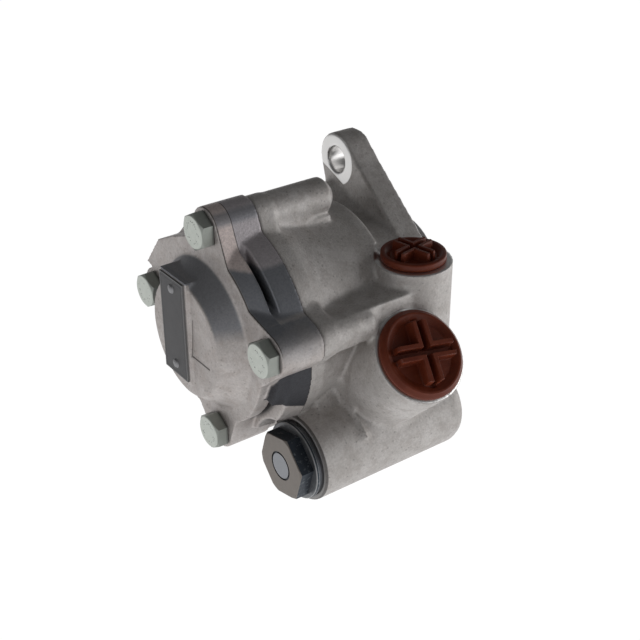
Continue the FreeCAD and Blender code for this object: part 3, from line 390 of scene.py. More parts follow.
def machined_steel(name, colour=(0.55, 0.56, 0.58), roughness=0.28, line=0.5):
    """Ground or turned steel, with fine lines round the shaft's axis."""
    f = Finish(name)
    cloud = f.noise(5.0, 3.0, 0.6)
    lines = f.noise(line, 2.0, 0.5, (1.0, 0.08, 0.08))
    tone = f.tint(f.mix(cloud, colour, tuple(c * 1.12 for c in colour)), lines * 0.16 + 0.92)
    return f.surface(tone, roughness + cloud * 0.1 + lines * 0.06, 0.95, f.bump(lines, 0.12, 0.00008))


def bronze():
    """Bearing bronze of the rear bush."""
    f = Finish("bush bronze")
    cloud = f.noise(3.0, 3.0, 0.6)
    lines = f.noise(0.4, 2.0, 0.5, (1.0, 0.1, 0.1))
    colour = f.tint(f.mix(cloud, (0.56, 0.40, 0.19), (0.66, 0.50, 0.27)), lines * 0.2 + 0.9)
    return f.surface(colour, 0.34 + cloud * 0.1, 0.95, f.bump(lines, 0.12, 0.00008))


def coated_plate():
    """The identification plate: dark slate coating with a fine double line near its edge, left bare."""
    f = Finish("plate coating")
    cloud = f.noise(4.0, 3.0, 0.6)
    brush = f.noise(0.35, 2.0, 0.6, (1.0, 1.0, 0.06))
    low, high = (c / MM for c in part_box("identification_plate"))
    from_side = half_distance(f.y, low.y, high.y)
    from_end = half_distance(f.z, low.z, high.z)
    inset = from_side.math("MINIMUM", from_end)
    line = inset.between(1.05, 1.3, 0.08)
    rim = inset.below(0.3, 0.15)
    colour = f.tint(f.mix(cloud, (0.062, 0.062, 0.066), (0.088, 0.086, 0.09)), brush * 0.3 + 0.85)
    colour = f.mix(line * 0.8, colour, (0.02, 0.02, 0.022))
    colour = f.mix(rim * 0.6, colour, (0.3, 0.3, 0.3))
    return f.surface(colour, 0.42 + brush * 0.12, 0.35, f.bump(brush * 0.4 - line, 0.3, 0.0001))


def half_distance(value, low, high):
    """How far inside the nearer of two edges a coordinate lies."""
    return (high - low) / 2 - abs(value - (low + high) / 2)


def moulded_plastic():
    """Rust-brown plastic of the port caps, glossy, with faint flow marks and scuffs."""
    f = Finish("cap plastic")
    cloud = f.noise(6.0, 3.0, 0.6)
    flow = f.noise(1.6, 3.0, 0.6, (0.4, 1.0, 1.0))
    scuff = f.noise(0.5, 4.0, 0.75, (1.0, 0.3, 1.0)).above(0.62, 0.08)
    colour = f.mix(cloud, (0.10, 0.016, 0.007), (0.20, 0.040, 0.016))
    colour = f.mix(flow.above(0.55, 0.2) * 0.25, colour, (0.2, 0.05, 0.024))
    colour = f.mix(scuff * 0.12, colour, (0.34, 0.17, 0.11))
    return f.surface(colour, 0.33 + cloud * 0.1 + scuff * 0.15, 0.0, f.bump(flow, 0.25, 0.00012),
                     Specular_IOR_Level=0.25)


def rubber():
    """Black seal rubber with a faint bloom."""
    f = Finish("seal rubber")
    bloom = f.noise(2.0, 3.0, 0.6)
    colour = f.mix(bloom, (0.012, 0.012, 0.013), (0.03, 0.03, 0.03))
    return f.surface(colour, 0.5 + bloom * 0.15, 0.0, f.bump(f.noise(0.4, 2.0), 0.2, 0.00006))


# Surfaces worked out from the frame's solids
def new_mesh(name, points, faces):
    """A mesh from points in millimetres and faces."""
    mesh = bpy.data.meshes.new(name)
    mesh.from_pydata((np.asarray(points) * MM).tolist(), [], faces)
    return mesh


def placed(name, mesh):
    """A mesh put into the scene as a piece."""
    piece = bpy.data.objects.new(name, mesh)
    bpy.context.scene.collection.objects.link(piece)
    return piece


def merged_copy(node, name):
    """A copy of a CAD node as one new piece, its loose triangles joined."""
    mesh = frame["nodes"][node].data.copy()
    work = bmesh.new()
    work.from_mesh(mesh)
    bmesh.ops.remove_doubles(work, verts=work.verts, dist=1e-7)
    work.to_mesh(mesh)
    work.free()
    return placed(name, mesh)


def turned_copy(node, name, yz, degrees):
    """A copy of a CAD node turned about an axis along X."""
    piece = merged_copy(node, name)
    points = points_of(piece.data)
    y, z = points[:, 1] - yz[0], points[:, 2] - yz[1]
    turn = math.radians(degrees)
    points[:, 1] = yz[0] + y * math.cos(turn) - z * math.sin(turn)
    points[:, 2] = yz[1] + y * math.sin(turn) + z * math.cos(turn)
    piece.data.vertices.foreach_set("co", (points * MM).ravel())
    piece.data.update()
    return piece


def ring_faces(rows, columns, closed):
    """The quads between rows of points round an axis, and from the last row to the first if closed."""
    last = rows if closed else rows - 1
    row, column = np.meshgrid(np.arange(last), np.arange(columns), indexing="ij")
    after = (row + 1) % rows
    beside = (column + 1) % columns
    quads = np.stack([row * columns + column, row * columns + beside,
                      after * columns + beside, after * columns + column], axis=-1)
    return quads.reshape(-1, 4).tolist()


def lathe(profile, foot, axis, steps=120):
    """A closed (height, radius) outline carried round an axis:
    foot + axis * height + radius * (cos, sin)."""
    axis = np.asarray(axis, float)
    first = np.cross(axis, (0.0, 1.0, 0.0) if abs(axis[0]) > 0.5 else (1.0, 0.0, 0.0))
    first /= np.linalg.norm(first)
    second = np.cross(axis, first)
    angle = np.linspace(0, 2 * np.pi, steps, endpoint=False)
    spoke = np.cos(angle)[:, None] * first + np.sin(angle)[:, None] * second
    height, radius = np.array(profile, float).T
    points = np.asarray(foot) + height[:, None, None] * axis + radius[:, None, None] * spoke
    return new_mesh("turned form", points.reshape(-1, 3), ring_faces(len(profile), steps, True))


def prism(outline, origin, first, second, along):
    """An outline in two directions from an origin, drawn out by a vector."""
    outline = np.array(outline, float)
    base = np.asarray(origin) + outline[:, :1] * np.asarray(first) + outline[:, 1:] * np.asarray(second)
    count = len(outline)
    sides = [[n, (n + 1) % count, (n + 1) % count + count, n + count] for n in range(count)]
    caps = [list(range(count))[::-1], list(range(count, 2 * count))]
    return new_mesh("drawn form", np.concatenate([base, base + np.asarray(along)]), sides + caps)


def arc(centre, radius, start, end, steps=24):
    """Points on a circle between two angles in degrees."""
    angle = np.radians(np.linspace(start, end, steps))
    return np.stack([centre[0] + radius * np.cos(angle), centre[1] + radius * np.sin(angle)], axis=1)


def apply_modifier(piece, kind, **settings):
    """Run one modifier on a piece and keep its result as the mesh."""
    modifier = piece.modifiers.new(kind.lower(), kind)
    for key, value in settings.items():
        setattr(modifier, key, value)
    bpy.context.view_layer.update()
    graph = bpy.context.evaluated_depsgraph_get()
    mesh = bpy.data.meshes.new_from_object(piece.evaluated_get(graph))
    piece.modifiers.clear()
    piece.data = mesh
    return piece


def points_of(mesh):
    """A mesh's points as an array, in millimetres."""
    points = np.empty(len(mesh.vertices) * 3)
    mesh.vertices.foreach_get("co", points)
    return points.reshape(-1, 3) / MM


def neighbour_mean(points, links):
    """The mean of each point's neighbours along the mesh's edges."""
    first, second = links
    count = np.bincount(first, minlength=len(points)) + np.bincount(second, minlength=len(points))
    total = np.stack([np.bincount(first, points[second, k], len(points))
                      + np.bincount(second, points[first, k], len(points)) for k in range(3)], axis=1)
    return total / np.maximum(count, 1)[:, None]


def outward(points, quads):
    """Unit normals of the points: the sum of the crossed diagonals of the faces round each point."""
    crossed = np.cross(points[quads[:, 2]] - points[quads[:, 0]], points[quads[:, 3]] - points[quads[:, 1]])
    total = np.zeros_like(points)
    for corner in range(4):
        for k in range(3):
            total[:, k] += np.bincount(quads[:, corner], crossed[:, k], len(points))
    return total / np.maximum(np.linalg.norm(total, axis=1), 1e-12)[:, None]


def ease_corners(piece, rounds, free, outer_share=0.25):
    """Give a casting its inner fillets. Each round moves every point half way to its neighbours' mean:
    all of that step where the mean lies outside the surface, as in an inner corner, and outer_share
    of it where it lies inside. free(points) is 0 on machined faces and 1 on cast skin, by axis."""
    mesh = piece.data
    points = points_of(mesh)
    links = np.empty(len(mesh.edges) * 2, dtype=np.int32)
    mesh.edges.foreach_get("vertices", links)
    links = links.reshape(-1, 2).T
    quads = np.array([p.vertices[:] if len(p.vertices) == 4 else (*p.vertices[:], p.vertices[0])
                      for p in mesh.polygons])
    weight = free(points)
    for turn in range(rounds):
        if turn % 6 == 0:
            normals = outward(points, quads)
        step = neighbour_mean(points, links) - points
        rise = np.einsum("ij,ij->i", step, normals)
        share = np.where(rise > 0, 1.0, outer_share if turn < 8 else 0.2 * outer_share)
        points += step * weight * (0.5 * share)[:, None]
    mesh.vertices.foreach_set("co", (points * MM).ravel())
    mesh.update()
    return piece


def clear_of(points, foot, axis, radius, low, high, soft=1.2):
    """1 away from a machined cylinder and 0 within it, by its axis, radius and span along the axis."""
    offset = points - np.asarray(foot)
    height = offset @ np.asarray(axis)
    off = np.linalg.norm(offset - height[:, None] * np.asarray(axis), axis=1)
    beyond = np.maximum(off - radius, np.maximum(low - height, height - high))
    return np.clip(beyond / soft, 0.0, 1.0)


def housing_skin(points):
    """How far each point may move along each axis: the end faces keep their x, machined walls stay."""
    guard = np.ones(len(points))
    free = np.clip((points[:, 0] - PARTING_X - 0.6) / 0.8, 0, 1) * np.clip((-0.4 - points[:, 0]) / 0.8, 0, 1)
    guarded = [((0, 0, 0), AXIS_X, 20.0, -39.0, 9.0), ((0, 0, 0), AXIS_X, 31.0, -80.0, -36.0),
               ((0, *EAR_YZ), AXIS_X, 6.2, -20.0, 1.0), ((0, *TAPPED_YZ), AXIS_X, 5.0, -17.0, 1.0),
               ((0, *VALVE_YZ), AXIS_X, 11.0, -80.0, -20.0), ((0, *VALVE_YZ), AXIS_X, 18.0, -80.0, -73.0),
               (SUCTION_FOOT, SUCTION_AXIS, 13.4, -20.5, 1.0), (SUCTION_FOOT, SUCTION_AXIS, 19.0, -0.7, 2.0),
               (PRESSURE_FOOT, AXIS_Z, 9.2, -17.0, 1.0), (PRESSURE_FOOT, AXIS_Z, 15.4, -0.7, 2.0)]
    guarded += [((0, *bolt), AXIS_X, 5.0, -80.0, -55.0) for bolt in BOLTS_YZ]
    for foot, axis, radius, low, high in guarded:
        guard = guard * clear_of(points, foot, axis, radius, low, high)
    return np.stack([free * guard, guard, guard], axis=1)


def cover_skin(points):
    """The same for the cover."""
    guard = np.ones(len(points))
    free = np.clip((PARTING_X - 0.6 - points[:, 0]) / 0.8, 0, 1)
    guarded = [((0, 0, 0), AXIS_X, 24.0, COVER_X - 3.0, PARTING_X)]
    guarded += [((0, *bolt), AXIS_X, 5.2, DOME_X, PARTING_X) for bolt in BOLTS_YZ]
    for foot, axis, radius, low, high in guarded:
        guard = guard * clear_of(points, foot, axis, radius, low, high)
    return np.stack([free * guard, guard, guard], axis=1)


# Forms of the housing that its plain solid lacks
EAR_X = -11.0
LONG_RIDGE = 36.0
SHORT_RIDGE = 20.5
NECK_SPAN_X = (-65.2, -53.9)
BOSS_FLAT_RADIUS = 14.8
FIN_TURN = math.radians(11.5)
FIN_THICKNESS = 2.4
# Start and end along the shaft, and outer and inner side, of the shelf's blocks
SHELF = ((-65.5, -28.0, -46.0, -30.6), (-44.0, -28.0, -46.0, -22.0), (-28.0, -18.5, -26.0, -21.0))
SHELF_Z = (3.4, 16.7)
EAR_RADIUS = 10.5
HUB_RADIUS = 26.5
BODY_RADIUS = 36.0
BARREL_RADIUS = 17.3
NECK_HALF = 11.0
CENTRE_GAP = 23.2
HOLE_CLEAR = 0.24
CONE = [(-66, 31), (-66, 41.6), (-60, 39.4), (-50, 37.4), (-36, 36.1), (-36, 31)]


def tangents(centre, radius, root):
    """Where the two lines that touch a boss and a circle round the shaft meet each of them."""
    centre = np.asarray(centre)
    span = np.linalg.norm(centre)
    along = -centre / span
    across = np.array((-along[1], along[0]))
    lean = (radius - root) / span
    spokes = [along * lean + across * side * math.sqrt(1 - lean * lean) for side in (1, -1)]
    return [centre + spoke * radius for spoke in spokes], [spoke * root for spoke in spokes]


def arm(centre):
    """The plate between an ear and the hub, with the shaft's opening left free."""
    ear, hub = tangents(centre, EAR_RADIUS, HUB_RADIUS)
    first, last = (math.degrees(math.atan2(p[1], p[0])) for p in hub)
    if last - first > 180:
        first += 360
    elif first - last > 180:
        last += 360
    inner = arc((0, 0), CENTRE_GAP, first, last)
    start = [e + (h - e) * HOLE_CLEAR for e, h in zip(ear, hub)]
    outline = [start[1], start[0], hub[0], *inner, hub[1]]
    return prism(outline, (EAR_X, 0, 0), AXIS_Y, AXIS_Z, -EAR_X * AXIS_X)


def ridge(centre, length):
    """A bolt's long ridge: a tube that closes past the thread, with a short cone at its end."""
    end = PARTING_X + length
    inner = min(end, -50.0)
    outline = [(PARTING_X + 0.3, 5.2), (PARTING_X + 0.3, 7), (end - 3, 7), (end, 4), (end, 0.01)]
    if end > inner:
        outline += [(inner, 0.01), (inner, 5.2)]
    else:
        outline = outline[:3] + [(end - 1, 5.2)]
    return lathe(outline, (0, *centre), AXIS_X)


def ridge_web(centre, length):
    """The flared foot of a ridge down to the body."""
    span = math.hypot(*centre)
    out = np.asarray(centre) / span
    side = np.array((-out[1], out[0]))
    low, high = 31.0, span - 5.2
    outline = [(low, -7.9), (high, -7.05), (high, 7.05), (low, 7.9)]
    return prism(outline, (PARTING_X + 0.3, 0, 0), (0, *out), (0, *side), (length - 3.3) * AXIS_X)


def gusset():
    """The sloping stiffener behind the upper ear. Over the plate between ear and hub, the surface rises
    0.8 mm backwards for each millimetre down from a line that leans 20 degrees, up to 16 mm."""
    lean = math.radians(20.0)
    down = np.array((math.sin(lean), -math.cos(lean)))
    ear, hub = tangents(EAR_YZ, EAR_RADIUS, 26.0)
    stop = 0.86
    along, across = np.meshgrid(np.linspace(HOLE_CLEAR, stop, 60), np.linspace(0, 1, 40), indexing="ij")
    left = ear[0] + along[..., None] * (hub[0] - ear[0])
    right = ear[1] + along[..., None] * (hub[1] - ear[1])
    place = left + across[..., None] * (right - left)
    drop = (place - np.asarray(EAR_YZ)) @ down - 7.7
    top = EAR_X + 0.4 - np.clip(drop * 0.8 + 0.4, 0, 16.4)
    free = np.linalg.norm(place, axis=-1) > 21.5
    top = np.where(free, top, EAR_X + 0.4)
    face = np.concatenate([top[..., None], place], axis=-1)
    back = face.copy()
    back[..., 0] = EAR_X + 0.8
    rows, columns = along.shape
    grid = np.arange(rows * columns).reshape(rows, columns)
    quads = np.stack([grid[:-1, :-1], grid[:-1, 1:], grid[1:, 1:], grid[1:, :-1]], axis=-1).reshape(-1, 4)
    count = rows * columns
    edge = np.concatenate([grid[0], grid[1:, -1], grid[-1, -2::-1], grid[-2:0:-1, 0]])
    after = np.roll(edge, -1)
    rim = np.stack([edge, after, after + count, edge + count], axis=-1)
    faces = quads.tolist() + (quads[:, ::-1] + count).tolist() + rim.tolist()
    return new_mesh("gusset form", np.concatenate([face.reshape(-1, 3), back.reshape(-1, 3)]), faces)


def side_fin():
    """The thin fin beside the suction port, turned 11.5 degrees forward as it runs out."""
    along = SUCTION_AXIS
    across = np.cross(AXIS_X, along)
    across = across if across[1] < 0 else -across
    out = across * math.cos(FIN_TURN) + AXIS_X * math.sin(FIN_TURN)
    thick = AXIS_X * math.cos(FIN_TURN) - across * math.sin(FIN_TURN)
    origin = np.array((-56.0, 0, 0)) + across * 31.0
    clear_of_bore = [(5.8, 32), (7.1, 26.1), (5.2, 19.1), (0.1, 14.0), (-4.5, 12.3), (-6, 12)]
    return prism([(-6, 0), (14, 0), (9, 32), *clear_of_bore], origin, along, out, thick * FIN_THICKNESS)


def housing_forms():
    """Everything that is added to the housing."""
    shoulder = [(-31, 25.2), (-31, 36), (-28.5, 36), (-27.5, 35.5), (-27, 34.5), (-27, 31), (-21, 26),
                (-21, 25.2)]
    hub = [(EAR_X, CENTRE_GAP), (EAR_X, HUB_RADIUS), (0, HUB_RADIUS), (0, CENTRE_GAP)]
    barrel = [(-73.4, 12), (-73.4, BARREL_RADIUS), (-8, BARREL_RADIUS), (-5, 16.1), (-3.5, 14.3),
              (-3, 11.3), (-3, 0.01), (-6.5, 0.01), (-6.5, 12)]
    forms = [*(lathe(profile, (0, 0, 0), AXIS_X) for profile in (hub, shoulder, CONE)),
             lathe(barrel, (0, *VALVE_YZ), AXIS_X),
             arm(EAR_YZ), arm(TAPPED_YZ), gusset(), side_fin()]
    for number, centre in enumerate(BOLTS_YZ):
        length = SHORT_RIDGE if number == NEAR_BOLT else LONG_RIDGE
        forms += [ridge(centre, length), ridge_web(centre, length)]
    low, high = SHELF_Z
    for start, end, outer, inner in SHELF:
        outline = [(outer, low), (inner, low), (inner, high), (outer, high)]
        forms.append(prism(outline, (start, 0, 0), AXIS_Y, AXIS_Z, (end - start) * AXIS_X))
    return forms


def carved_neck(points):
    """The neck between body and barrel, narrower behind the rim so that the fin stands free there."""
    valve = np.asarray(VALVE_YZ)
    span = np.linalg.norm(valve)
    toward = valve / span
    side = np.array((toward[1], -toward[0]))
    along = points[:, 1:] @ toward
    wide = points[:, 1:] @ side
    least = np.maximum(np.sqrt(np.maximum(BODY_RADIUS ** 2 - along ** 2, NECK_HALF ** 2)),
                       np.sqrt(np.maximum(BARREL_RADIUS ** 2 - (along - span) ** 2, 0)))
    inside = (points[:, 0] > NECK_SPAN_X[0]) & (points[:, 0] < NECK_SPAN_X[1])
    inside &= (along > 26) & (wide > least)
    moved = points.copy()
    moved[inside, 1:] += (least - wide)[inside, None] * side
    return moved


def sector(profile, start, end, steps=48):
    """A closed (x, radius) outline carried round the shaft between two angles in degrees."""
    angle = np.radians(np.linspace(start, end, steps))[:, None]
    x, radius = np.array(profile, float).T
    points = np.stack([x + 0 * angle, np.cos(angle) * radius, np.sin(angle) * radius], axis=-1)
    count = len(x)
    ends = [list(range(count))[::-1], list(range((steps - 1) * count, steps * count))]
    return new_mesh("sector form", points.reshape(-1, 3), ring_faces(steps, count, False) + ends)


def facet_block():
    """The flat cast block under the near bolt that closes the cover's slot there."""
    face = np.array([(-84.6, -41.6, 2.0), (-69.0, -41.6, -1.0),
                     (-69.0, -36.2, -21.6), (-87.6, -38.6, -14.6)])
    back = face + np.array((0.0, 10.5, 2.0))
    sides = [[n, (n + 1) % 4, (n + 1) % 4 + 4, n + 4] for n in range(4)]
    ends = [[3, 2, 1, 0], [4, 5, 6, 7]]
    return new_mesh("facet form", np.concatenate([face, back]), sides + ends)


def pressed_housing(points):
    """The housing with a flat turned round the pressure port: what stands over it is pushed back."""
    offset = points - PRESSURE_FOOT
    off = np.hypot(offset[:, 0], offset[:, 1])
    inside = (off < BOSS_FLAT_RADIUS) & (offset[:, 2] > 0) & (off > 9.0)
    rise = BOSS_FLAT_RADIUS - off
    to_floor = inside & (offset[:, 2] < rise)
    to_wall = inside & ~to_floor
    moved = points.copy()
    moved[to_floor, 2] = PRESSURE_FOOT[2]
    scale = BOSS_FLAT_RADIUS / np.maximum(off, 1e-6)
    moved[to_wall, 0] = PRESSURE_FOOT[0] + offset[to_wall, 0] * scale[to_wall]
    moved[to_wall, 1] = PRESSURE_FOOT[1] + offset[to_wall, 1] * scale[to_wall]
    return moved


def casting(node, name, voxel, rounds, free, material, faces, forms=(), carved=None, pressed=None):
    """A cast piece with its fillets, in place of its plain solid."""
    piece = merged_copy(node, name)
    size = voxel
    if carved:
        apply_modifier(piece, "REMESH", mode="VOXEL", voxel_size=size * MM)
        piece.data.vertices.foreach_set("co", (carved(points_of(piece.data)) * MM).ravel())
    work = bmesh.new()
    work.from_mesh(piece.data)
    for form in forms:
        work.from_mesh(form)
    work.to_mesh(piece.data)
    work.free()
    apply_modifier(piece, "REMESH", mode="VOXEL", voxel_size=size * MM)
    ease_corners(piece, rounds, free)
    if pressed:
        piece.data.vertices.foreach_set("co", (pressed(points_of(piece.data)) * MM).ravel())
    count = sum(len(p.vertices) - 2 for p in piece.data.polygons)
    if count > faces:
        apply_modifier(piece, "DECIMATE", ratio=faces / count)
    return finished(piece, node, material)


def finished(piece, node, material, smooth=True):
    """Give a piece its finish and its place in the housing's body, instead of a CAD node."""
    piece.data.materials.clear()
    piece.data.materials.append(material)
    if smooth:
        piece.data.shade_smooth()
    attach(piece, "housing")
    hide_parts(node)
    return piece


def port_cap(node, name, foot, axis, radius, bore, flange, depth, cross, rim, material, steps=400):
    """A moulded cap as rows of rings. Its top is a height over (radius, angle): a dish that rises to the
    rim, a plus-shaped grip on it, and a slot along each arm of the grip."""
    level = np.array((-1.0, 0.0, 0.0))
    first = np.cross(level, axis)
    angle = np.linspace(0, 2 * np.pi, steps, endpoint=False)
    spoke = np.cos(angle)[:, None] * first + np.sin(angle)[:, None] * level
    reach = np.linspace(radius * 0.9, 0, 96)[:-1]
    rim_radius, rim_height = np.array(rim, float).T
    shank = bore - 0.5
    rows = [(-1.8, 0.0), (-1.8, shank - 1.8), (-depth, shank - 1.8), (-depth, shank), (0.0, bore - 0.05),
            (0.0, radius - 0.4), (0.4, radius)]
    rows += list(zip(rim_height, rim_radius))
    grid, turn = np.meshgrid(reach, angle - math.radians(cross), indexing="ij")
    u, v = abs(grid * np.cos(turn)), abs(grid * np.sin(turn))
    dish = flange - 1.6
    base = np.interp(grid, (0, radius * 0.7, radius * 0.86, radius), (dish, dish, flange, flange))
    soft = 0.42

    def inside(value, edge):
        share = np.clip((edge - value) / soft + 0.5, 0, 1)
        return share * share * (3 - 2 * share)

    arms = inside(np.minimum(u, v), 0.19 * radius) * inside(grid, 0.7 * radius)
    slots = inside(np.minimum(u, v), 0.07 * radius) * inside(grid, 0.76 * radius)
    height = base + (flange + 0.18 * radius - base) * arms
    floor_height = flange - 2.1
    height += (floor_height - height) * slots
    under = np.array(rows)
    lower = foot + under[:, 0, None, None] * axis + under[:, 1, None, None] * spoke
    upper = foot + height[..., None] * axis + grid[..., None] * spoke
    rings = np.concatenate([lower[1:], upper]).reshape(-1, 3)
    count = len(lower) - 1 + len(upper)
    start, end = len(rings), len(rings) + 1
    points = np.concatenate([rings, lower[:1, 0], [foot + floor_height * axis]])
    column = np.arange(steps)
    beside = (column + 1) % steps
    faces = ring_faces(count, steps, False)
    faces += np.stack([np.full(steps, start), beside, column], axis=1).tolist()
    last = (count - 1) * steps
    faces += np.stack([np.full(steps, end), last + column, last + beside], axis=1).tolist()
    mesh = new_mesh(name, points, faces)
    work = bmesh.new()
    work.from_mesh(mesh)
    bmesh.ops.recalc_face_normals(work, faces=work.faces)
    work.to_mesh(mesh)
    work.free()
    return finished(placed(name, mesh), node, material)


# The sizes of the dressed pieces
HOUSING_VOXEL = 0.58
HOUSING_ROUNDS = 38
HOUSING_TRIANGLES = 190000
COVER_VOXEL = 0.5
COVER_ROUNDS = 7
COVER_TRIANGLES = 170000
FLARED_BAND = [(COVER_X + 0.35, 31), (COVER_X + 0.35, 36.9), (SLOT_X - 0.2, 41.4), (SLOT_X - 0.2, 31)]
BAND_START, BAND_END = 101.0, 161.0
PLUG_TURN = 17.0
SUCTION_RIM = [(17.4, 1.2), (17.2, 1.5), (16.8, 1.9), (16.2, 2.45), (15.8, 2.8)]
PRESSURE_RIM = [(12.6, 1.2), (12.6, 2.5), (12.45, 2.85), (12.1, 3.05), (11.5, 3.1)]


# Dress every node of the frame
def dress(material, *nodes):
    """Give CAD nodes a finish."""
    for node in nodes:
        thing = frame["nodes"][node]
        thing.data.materials.clear()
        thing.data.materials.append(material)


GROUND = machined_steel("ground steel")
DARK_STEEL = machined_steel("dark steel", (0.20, 0.21, 0.23), 0.36)
BRIGHT_STEEL = machined_steel("polished steel", (0.62, 0.63, 0.65), 0.16, 0.9)
SPRING_STEEL = machined_steel("spring steel", (0.24, 0.25, 0.27), 0.34)
CAM_STEEL = machined_steel("cam steel", (0.40, 0.41, 0.43), 0.3, 0.35)
dress(GROUND, "drive_shaft", "rotor", "bearing_inner_ring", "bearing_outer_ring", "flow_control_spool",
      "locating_pins")
dress(BRIGHT_STEEL, "bearing_balls", "relief_ball", *(f"vane_{n}" for n in range(1, 11)))
dress(SPRING_STEEL, "spool_spring", "relief_spring", "plate_spring", "bearing_circlip", "shaft_circlip")
dress(CAM_STEEL, "cam_ring", "front_side_plate", "pressure_plate", "bearing_cage", "relief_seat")
dress(DARK_STEEL, "valve_plug_washer")
dress(machined_steel("rivet steel", (0.30, 0.30, 0.31), 0.42), "plate_rivets")
dress(bronze(), "rear_bush")
dress(rubber(), "shaft_seal", "pilot_ring", "cover_seal")
dress(coated_plate(), "identification_plate")
dress(zinc("bolt zinc"), "cover_bolts")

housing = casting("pump_housing", "housing_casting", HOUSING_VOXEL, HOUSING_ROUNDS, housing_skin,
                  blasted_casting(), HOUSING_TRIANGLES, housing_forms(), carved_neck, pressed_housing)
cover = casting("rear_cover", "cover_casting", COVER_VOXEL, COVER_ROUNDS, cover_skin, cover_casting(),
                COVER_TRIANGLES, [facet_block(), sector(FLARED_BAND, BAND_START, BAND_END)])
finished(turned_copy("valve_plug", "turned_plug", VALVE_YZ, PLUG_TURN), "valve_plug", oxide_plug(), False)
PLASTIC = moulded_plastic()
port_cap("suction_port_cap", "suction_cap_moulding", SUCTION_FOOT, SUCTION_AXIS, 17.4, 12.2,
         3.0, 11.0, 80.0, SUCTION_RIM, PLASTIC)
port_cap("pressure_port_cap", "pressure_cap_moulding", PRESSURE_FOOT, AXIS_Z, 12.6, 8.2, 3.1, 9.0, 11.0,
         PRESSURE_RIM, PLASTIC)


# Camera, light and floor
SKY_TOP = 0.12
SKY_LEFT = 0.1
SKY_RIGHT = 0.8
RIGHT_LAMP = 2.2
LEFT_LAMP = 0.9
TABLE_LEFT = 0.85
TABLE_RIGHT = 1.3
TABLE_SEEN = 1.12


def aim_camera():
    """The photograph's camera: 36 degrees round from the front, 29.6 degrees up."""
    turn, lift, roll = math.radians(-36.0), math.radians(29.6), math.radians(-0.2)
    right = Vector((math.cos(turn), math.sin(turn), 0))
    back = Vector((math.sin(turn) * math.cos(lift), -math.cos(turn) * math.cos(lift), math.sin(lift)))
    up = back.cross(right)
    pose = Matrix((right, up, back)).transposed() @ Matrix.Rotation(roll, 3, "Z")
    camera = bpy.data.objects.new("camera", bpy.data.cameras.new("camera"))
    camera.data.lens = 67.5
    camera.data.sensor_width = 36.0
    camera.data.clip_start = 0.01
    camera.matrix_world = Matrix.Translation(Vector((-286.55, -342.11, 227.22)) * MM) @ pose.to_4x4()
    bpy.context.scene.collection.objects.link(camera)
    bpy.context.scene.camera = camera


def soft_box(name, place, target, size, power):
    """A square area lamp that faces a point."""
    lamp = bpy.data.objects.new(name, bpy.data.lights.new(name, "AREA"))
    lamp.data.energy = power
    lamp.data.size = size
    lamp.location = place
    lamp.rotation_euler = (Vector(target) - Vector(place)).to_track_quat("-Z", "Y").to_euler()
    bpy.context.scene.collection.objects.link(lamp)


class Surround:
    """The few nodes that the world and the table share."""

    def __init__(self, tree, source):
        self.tree = tree
        direction = tree.nodes.new("ShaderNodeTexCoord")
        parts = tree.nodes.new("ShaderNodeSeparateXYZ")
        tree.links.new(parts.inputs[0], direction.outputs[source])
        self.x, self.y, self.z = parts.outputs

    def joined(self, operation, first, second):
        """Two values added or multiplied."""
        made = self.tree.nodes.new("ShaderNodeMath")
        made.operation = operation
        for socket, value in zip(made.inputs, (first, second)):
            if isinstance(value, float):
                socket.default_value = value
            else:
                self.tree.links.new(socket, value)
        return made.outputs[0]

    def fall(self, source, start, end, first, last):
        """A value that passes smoothly from the first to the last between two places."""
        made = self.tree.nodes.new("ShaderNodeMapRange")
        made.interpolation_type = "SMOOTHSTEP"
        for name, value in zip(("From Min", "From Max", "To Min", "To Max"), (start, end, first, last)):
            made.inputs[name].default_value = value
        self.tree.links.new(made.inputs["Value"], source)
        return made.outputs[0]


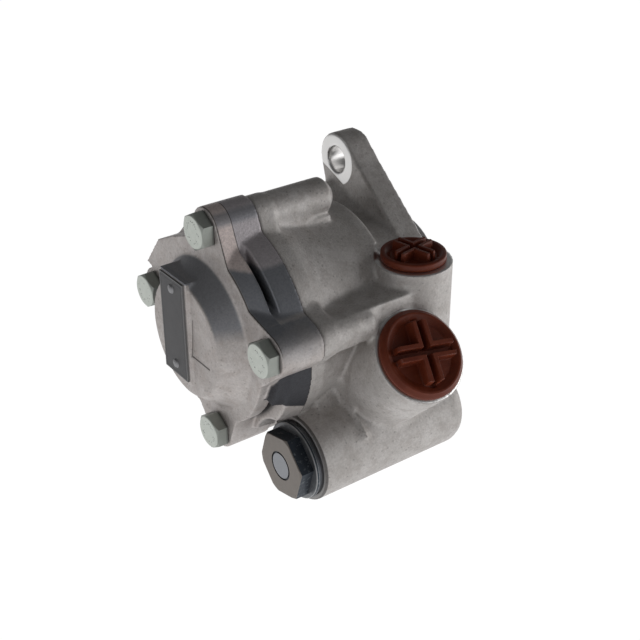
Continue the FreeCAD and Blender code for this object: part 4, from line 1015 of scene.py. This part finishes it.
def studio():
    """A surround that is dark overhead and bright low on the right, with two soft lamps low down."""
    world = bpy.data.worlds.new("studio")
    world.use_nodes = True
    bpy.context.scene.world = world
    nodes, links = world.node_tree.nodes, world.node_tree.links
    nodes.clear()
    around = Surround(world.node_tree, "Generated")
    low = around.fall(around.z, 0.0, 0.42, 1.0, 0.0)
    side = around.fall(around.x, -0.2, 0.8, SKY_LEFT, SKY_RIGHT)
    background = nodes.new("ShaderNodeBackground")
    sky = around.joined("ADD", around.joined("MULTIPLY", low, side), SKY_TOP)
    links.new(background.inputs["Strength"], sky)
    output = nodes.new("ShaderNodeOutputWorld")
    links.new(output.inputs[0], background.outputs[0])
    middle = (-0.045, -0.008, -0.005)
    soft_box("right lamp", (0.8, -0.6, 0.08), middle, 0.6, RIGHT_LAMP)
    soft_box("left lamp", (-0.95, -0.35, 0.12), middle, 0.7, LEFT_LAMP)


def floor():
    """A pale glowing table just under the pump: white to the camera, brighter on the right."""
    level = cad_box[0].z - 0.0002
    bpy.ops.mesh.primitive_plane_add(size=6.0, location=(0, 0, level))
    plane = bpy.context.object
    plane.name = "floor"
    material = bpy.data.materials.new("pale floor")
    material.use_nodes = True
    nodes, links = material.node_tree.nodes, material.node_tree.links
    shader = nodes["Principled BSDF"]
    shader.inputs["Base Color"].default_value = (0.9, 0.9, 0.9, 1.0)
    shader.inputs["Roughness"].default_value = 0.7
    around = Surround(material.node_tree, "Object")
    path = nodes.new("ShaderNodeLightPath")
    strength = nodes.new("ShaderNodeMix")
    links.new(strength.inputs[0], path.outputs["Is Camera Ray"])
    links.new(strength.inputs[2], around.fall(around.x, -0.35, 0.4, TABLE_LEFT, TABLE_RIGHT))
    strength.inputs[3].default_value = TABLE_SEEN
    glow = nodes.new("ShaderNodeEmission")
    links.new(glow.inputs["Strength"], strength.outputs[0])
    blend = nodes.new("ShaderNodeMixShader")
    blend.inputs[0].default_value = 0.9
    links.new(blend.inputs[1], shader.outputs[0])
    links.new(blend.inputs[2], glow.outputs[0])
    links.new(nodes["Material Output"].inputs["Surface"], blend.outputs[0])
    plane.data.materials.append(material)


aim_camera()
studio()
floor()
bpy.context.scene.view_settings.view_transform = "Standard"
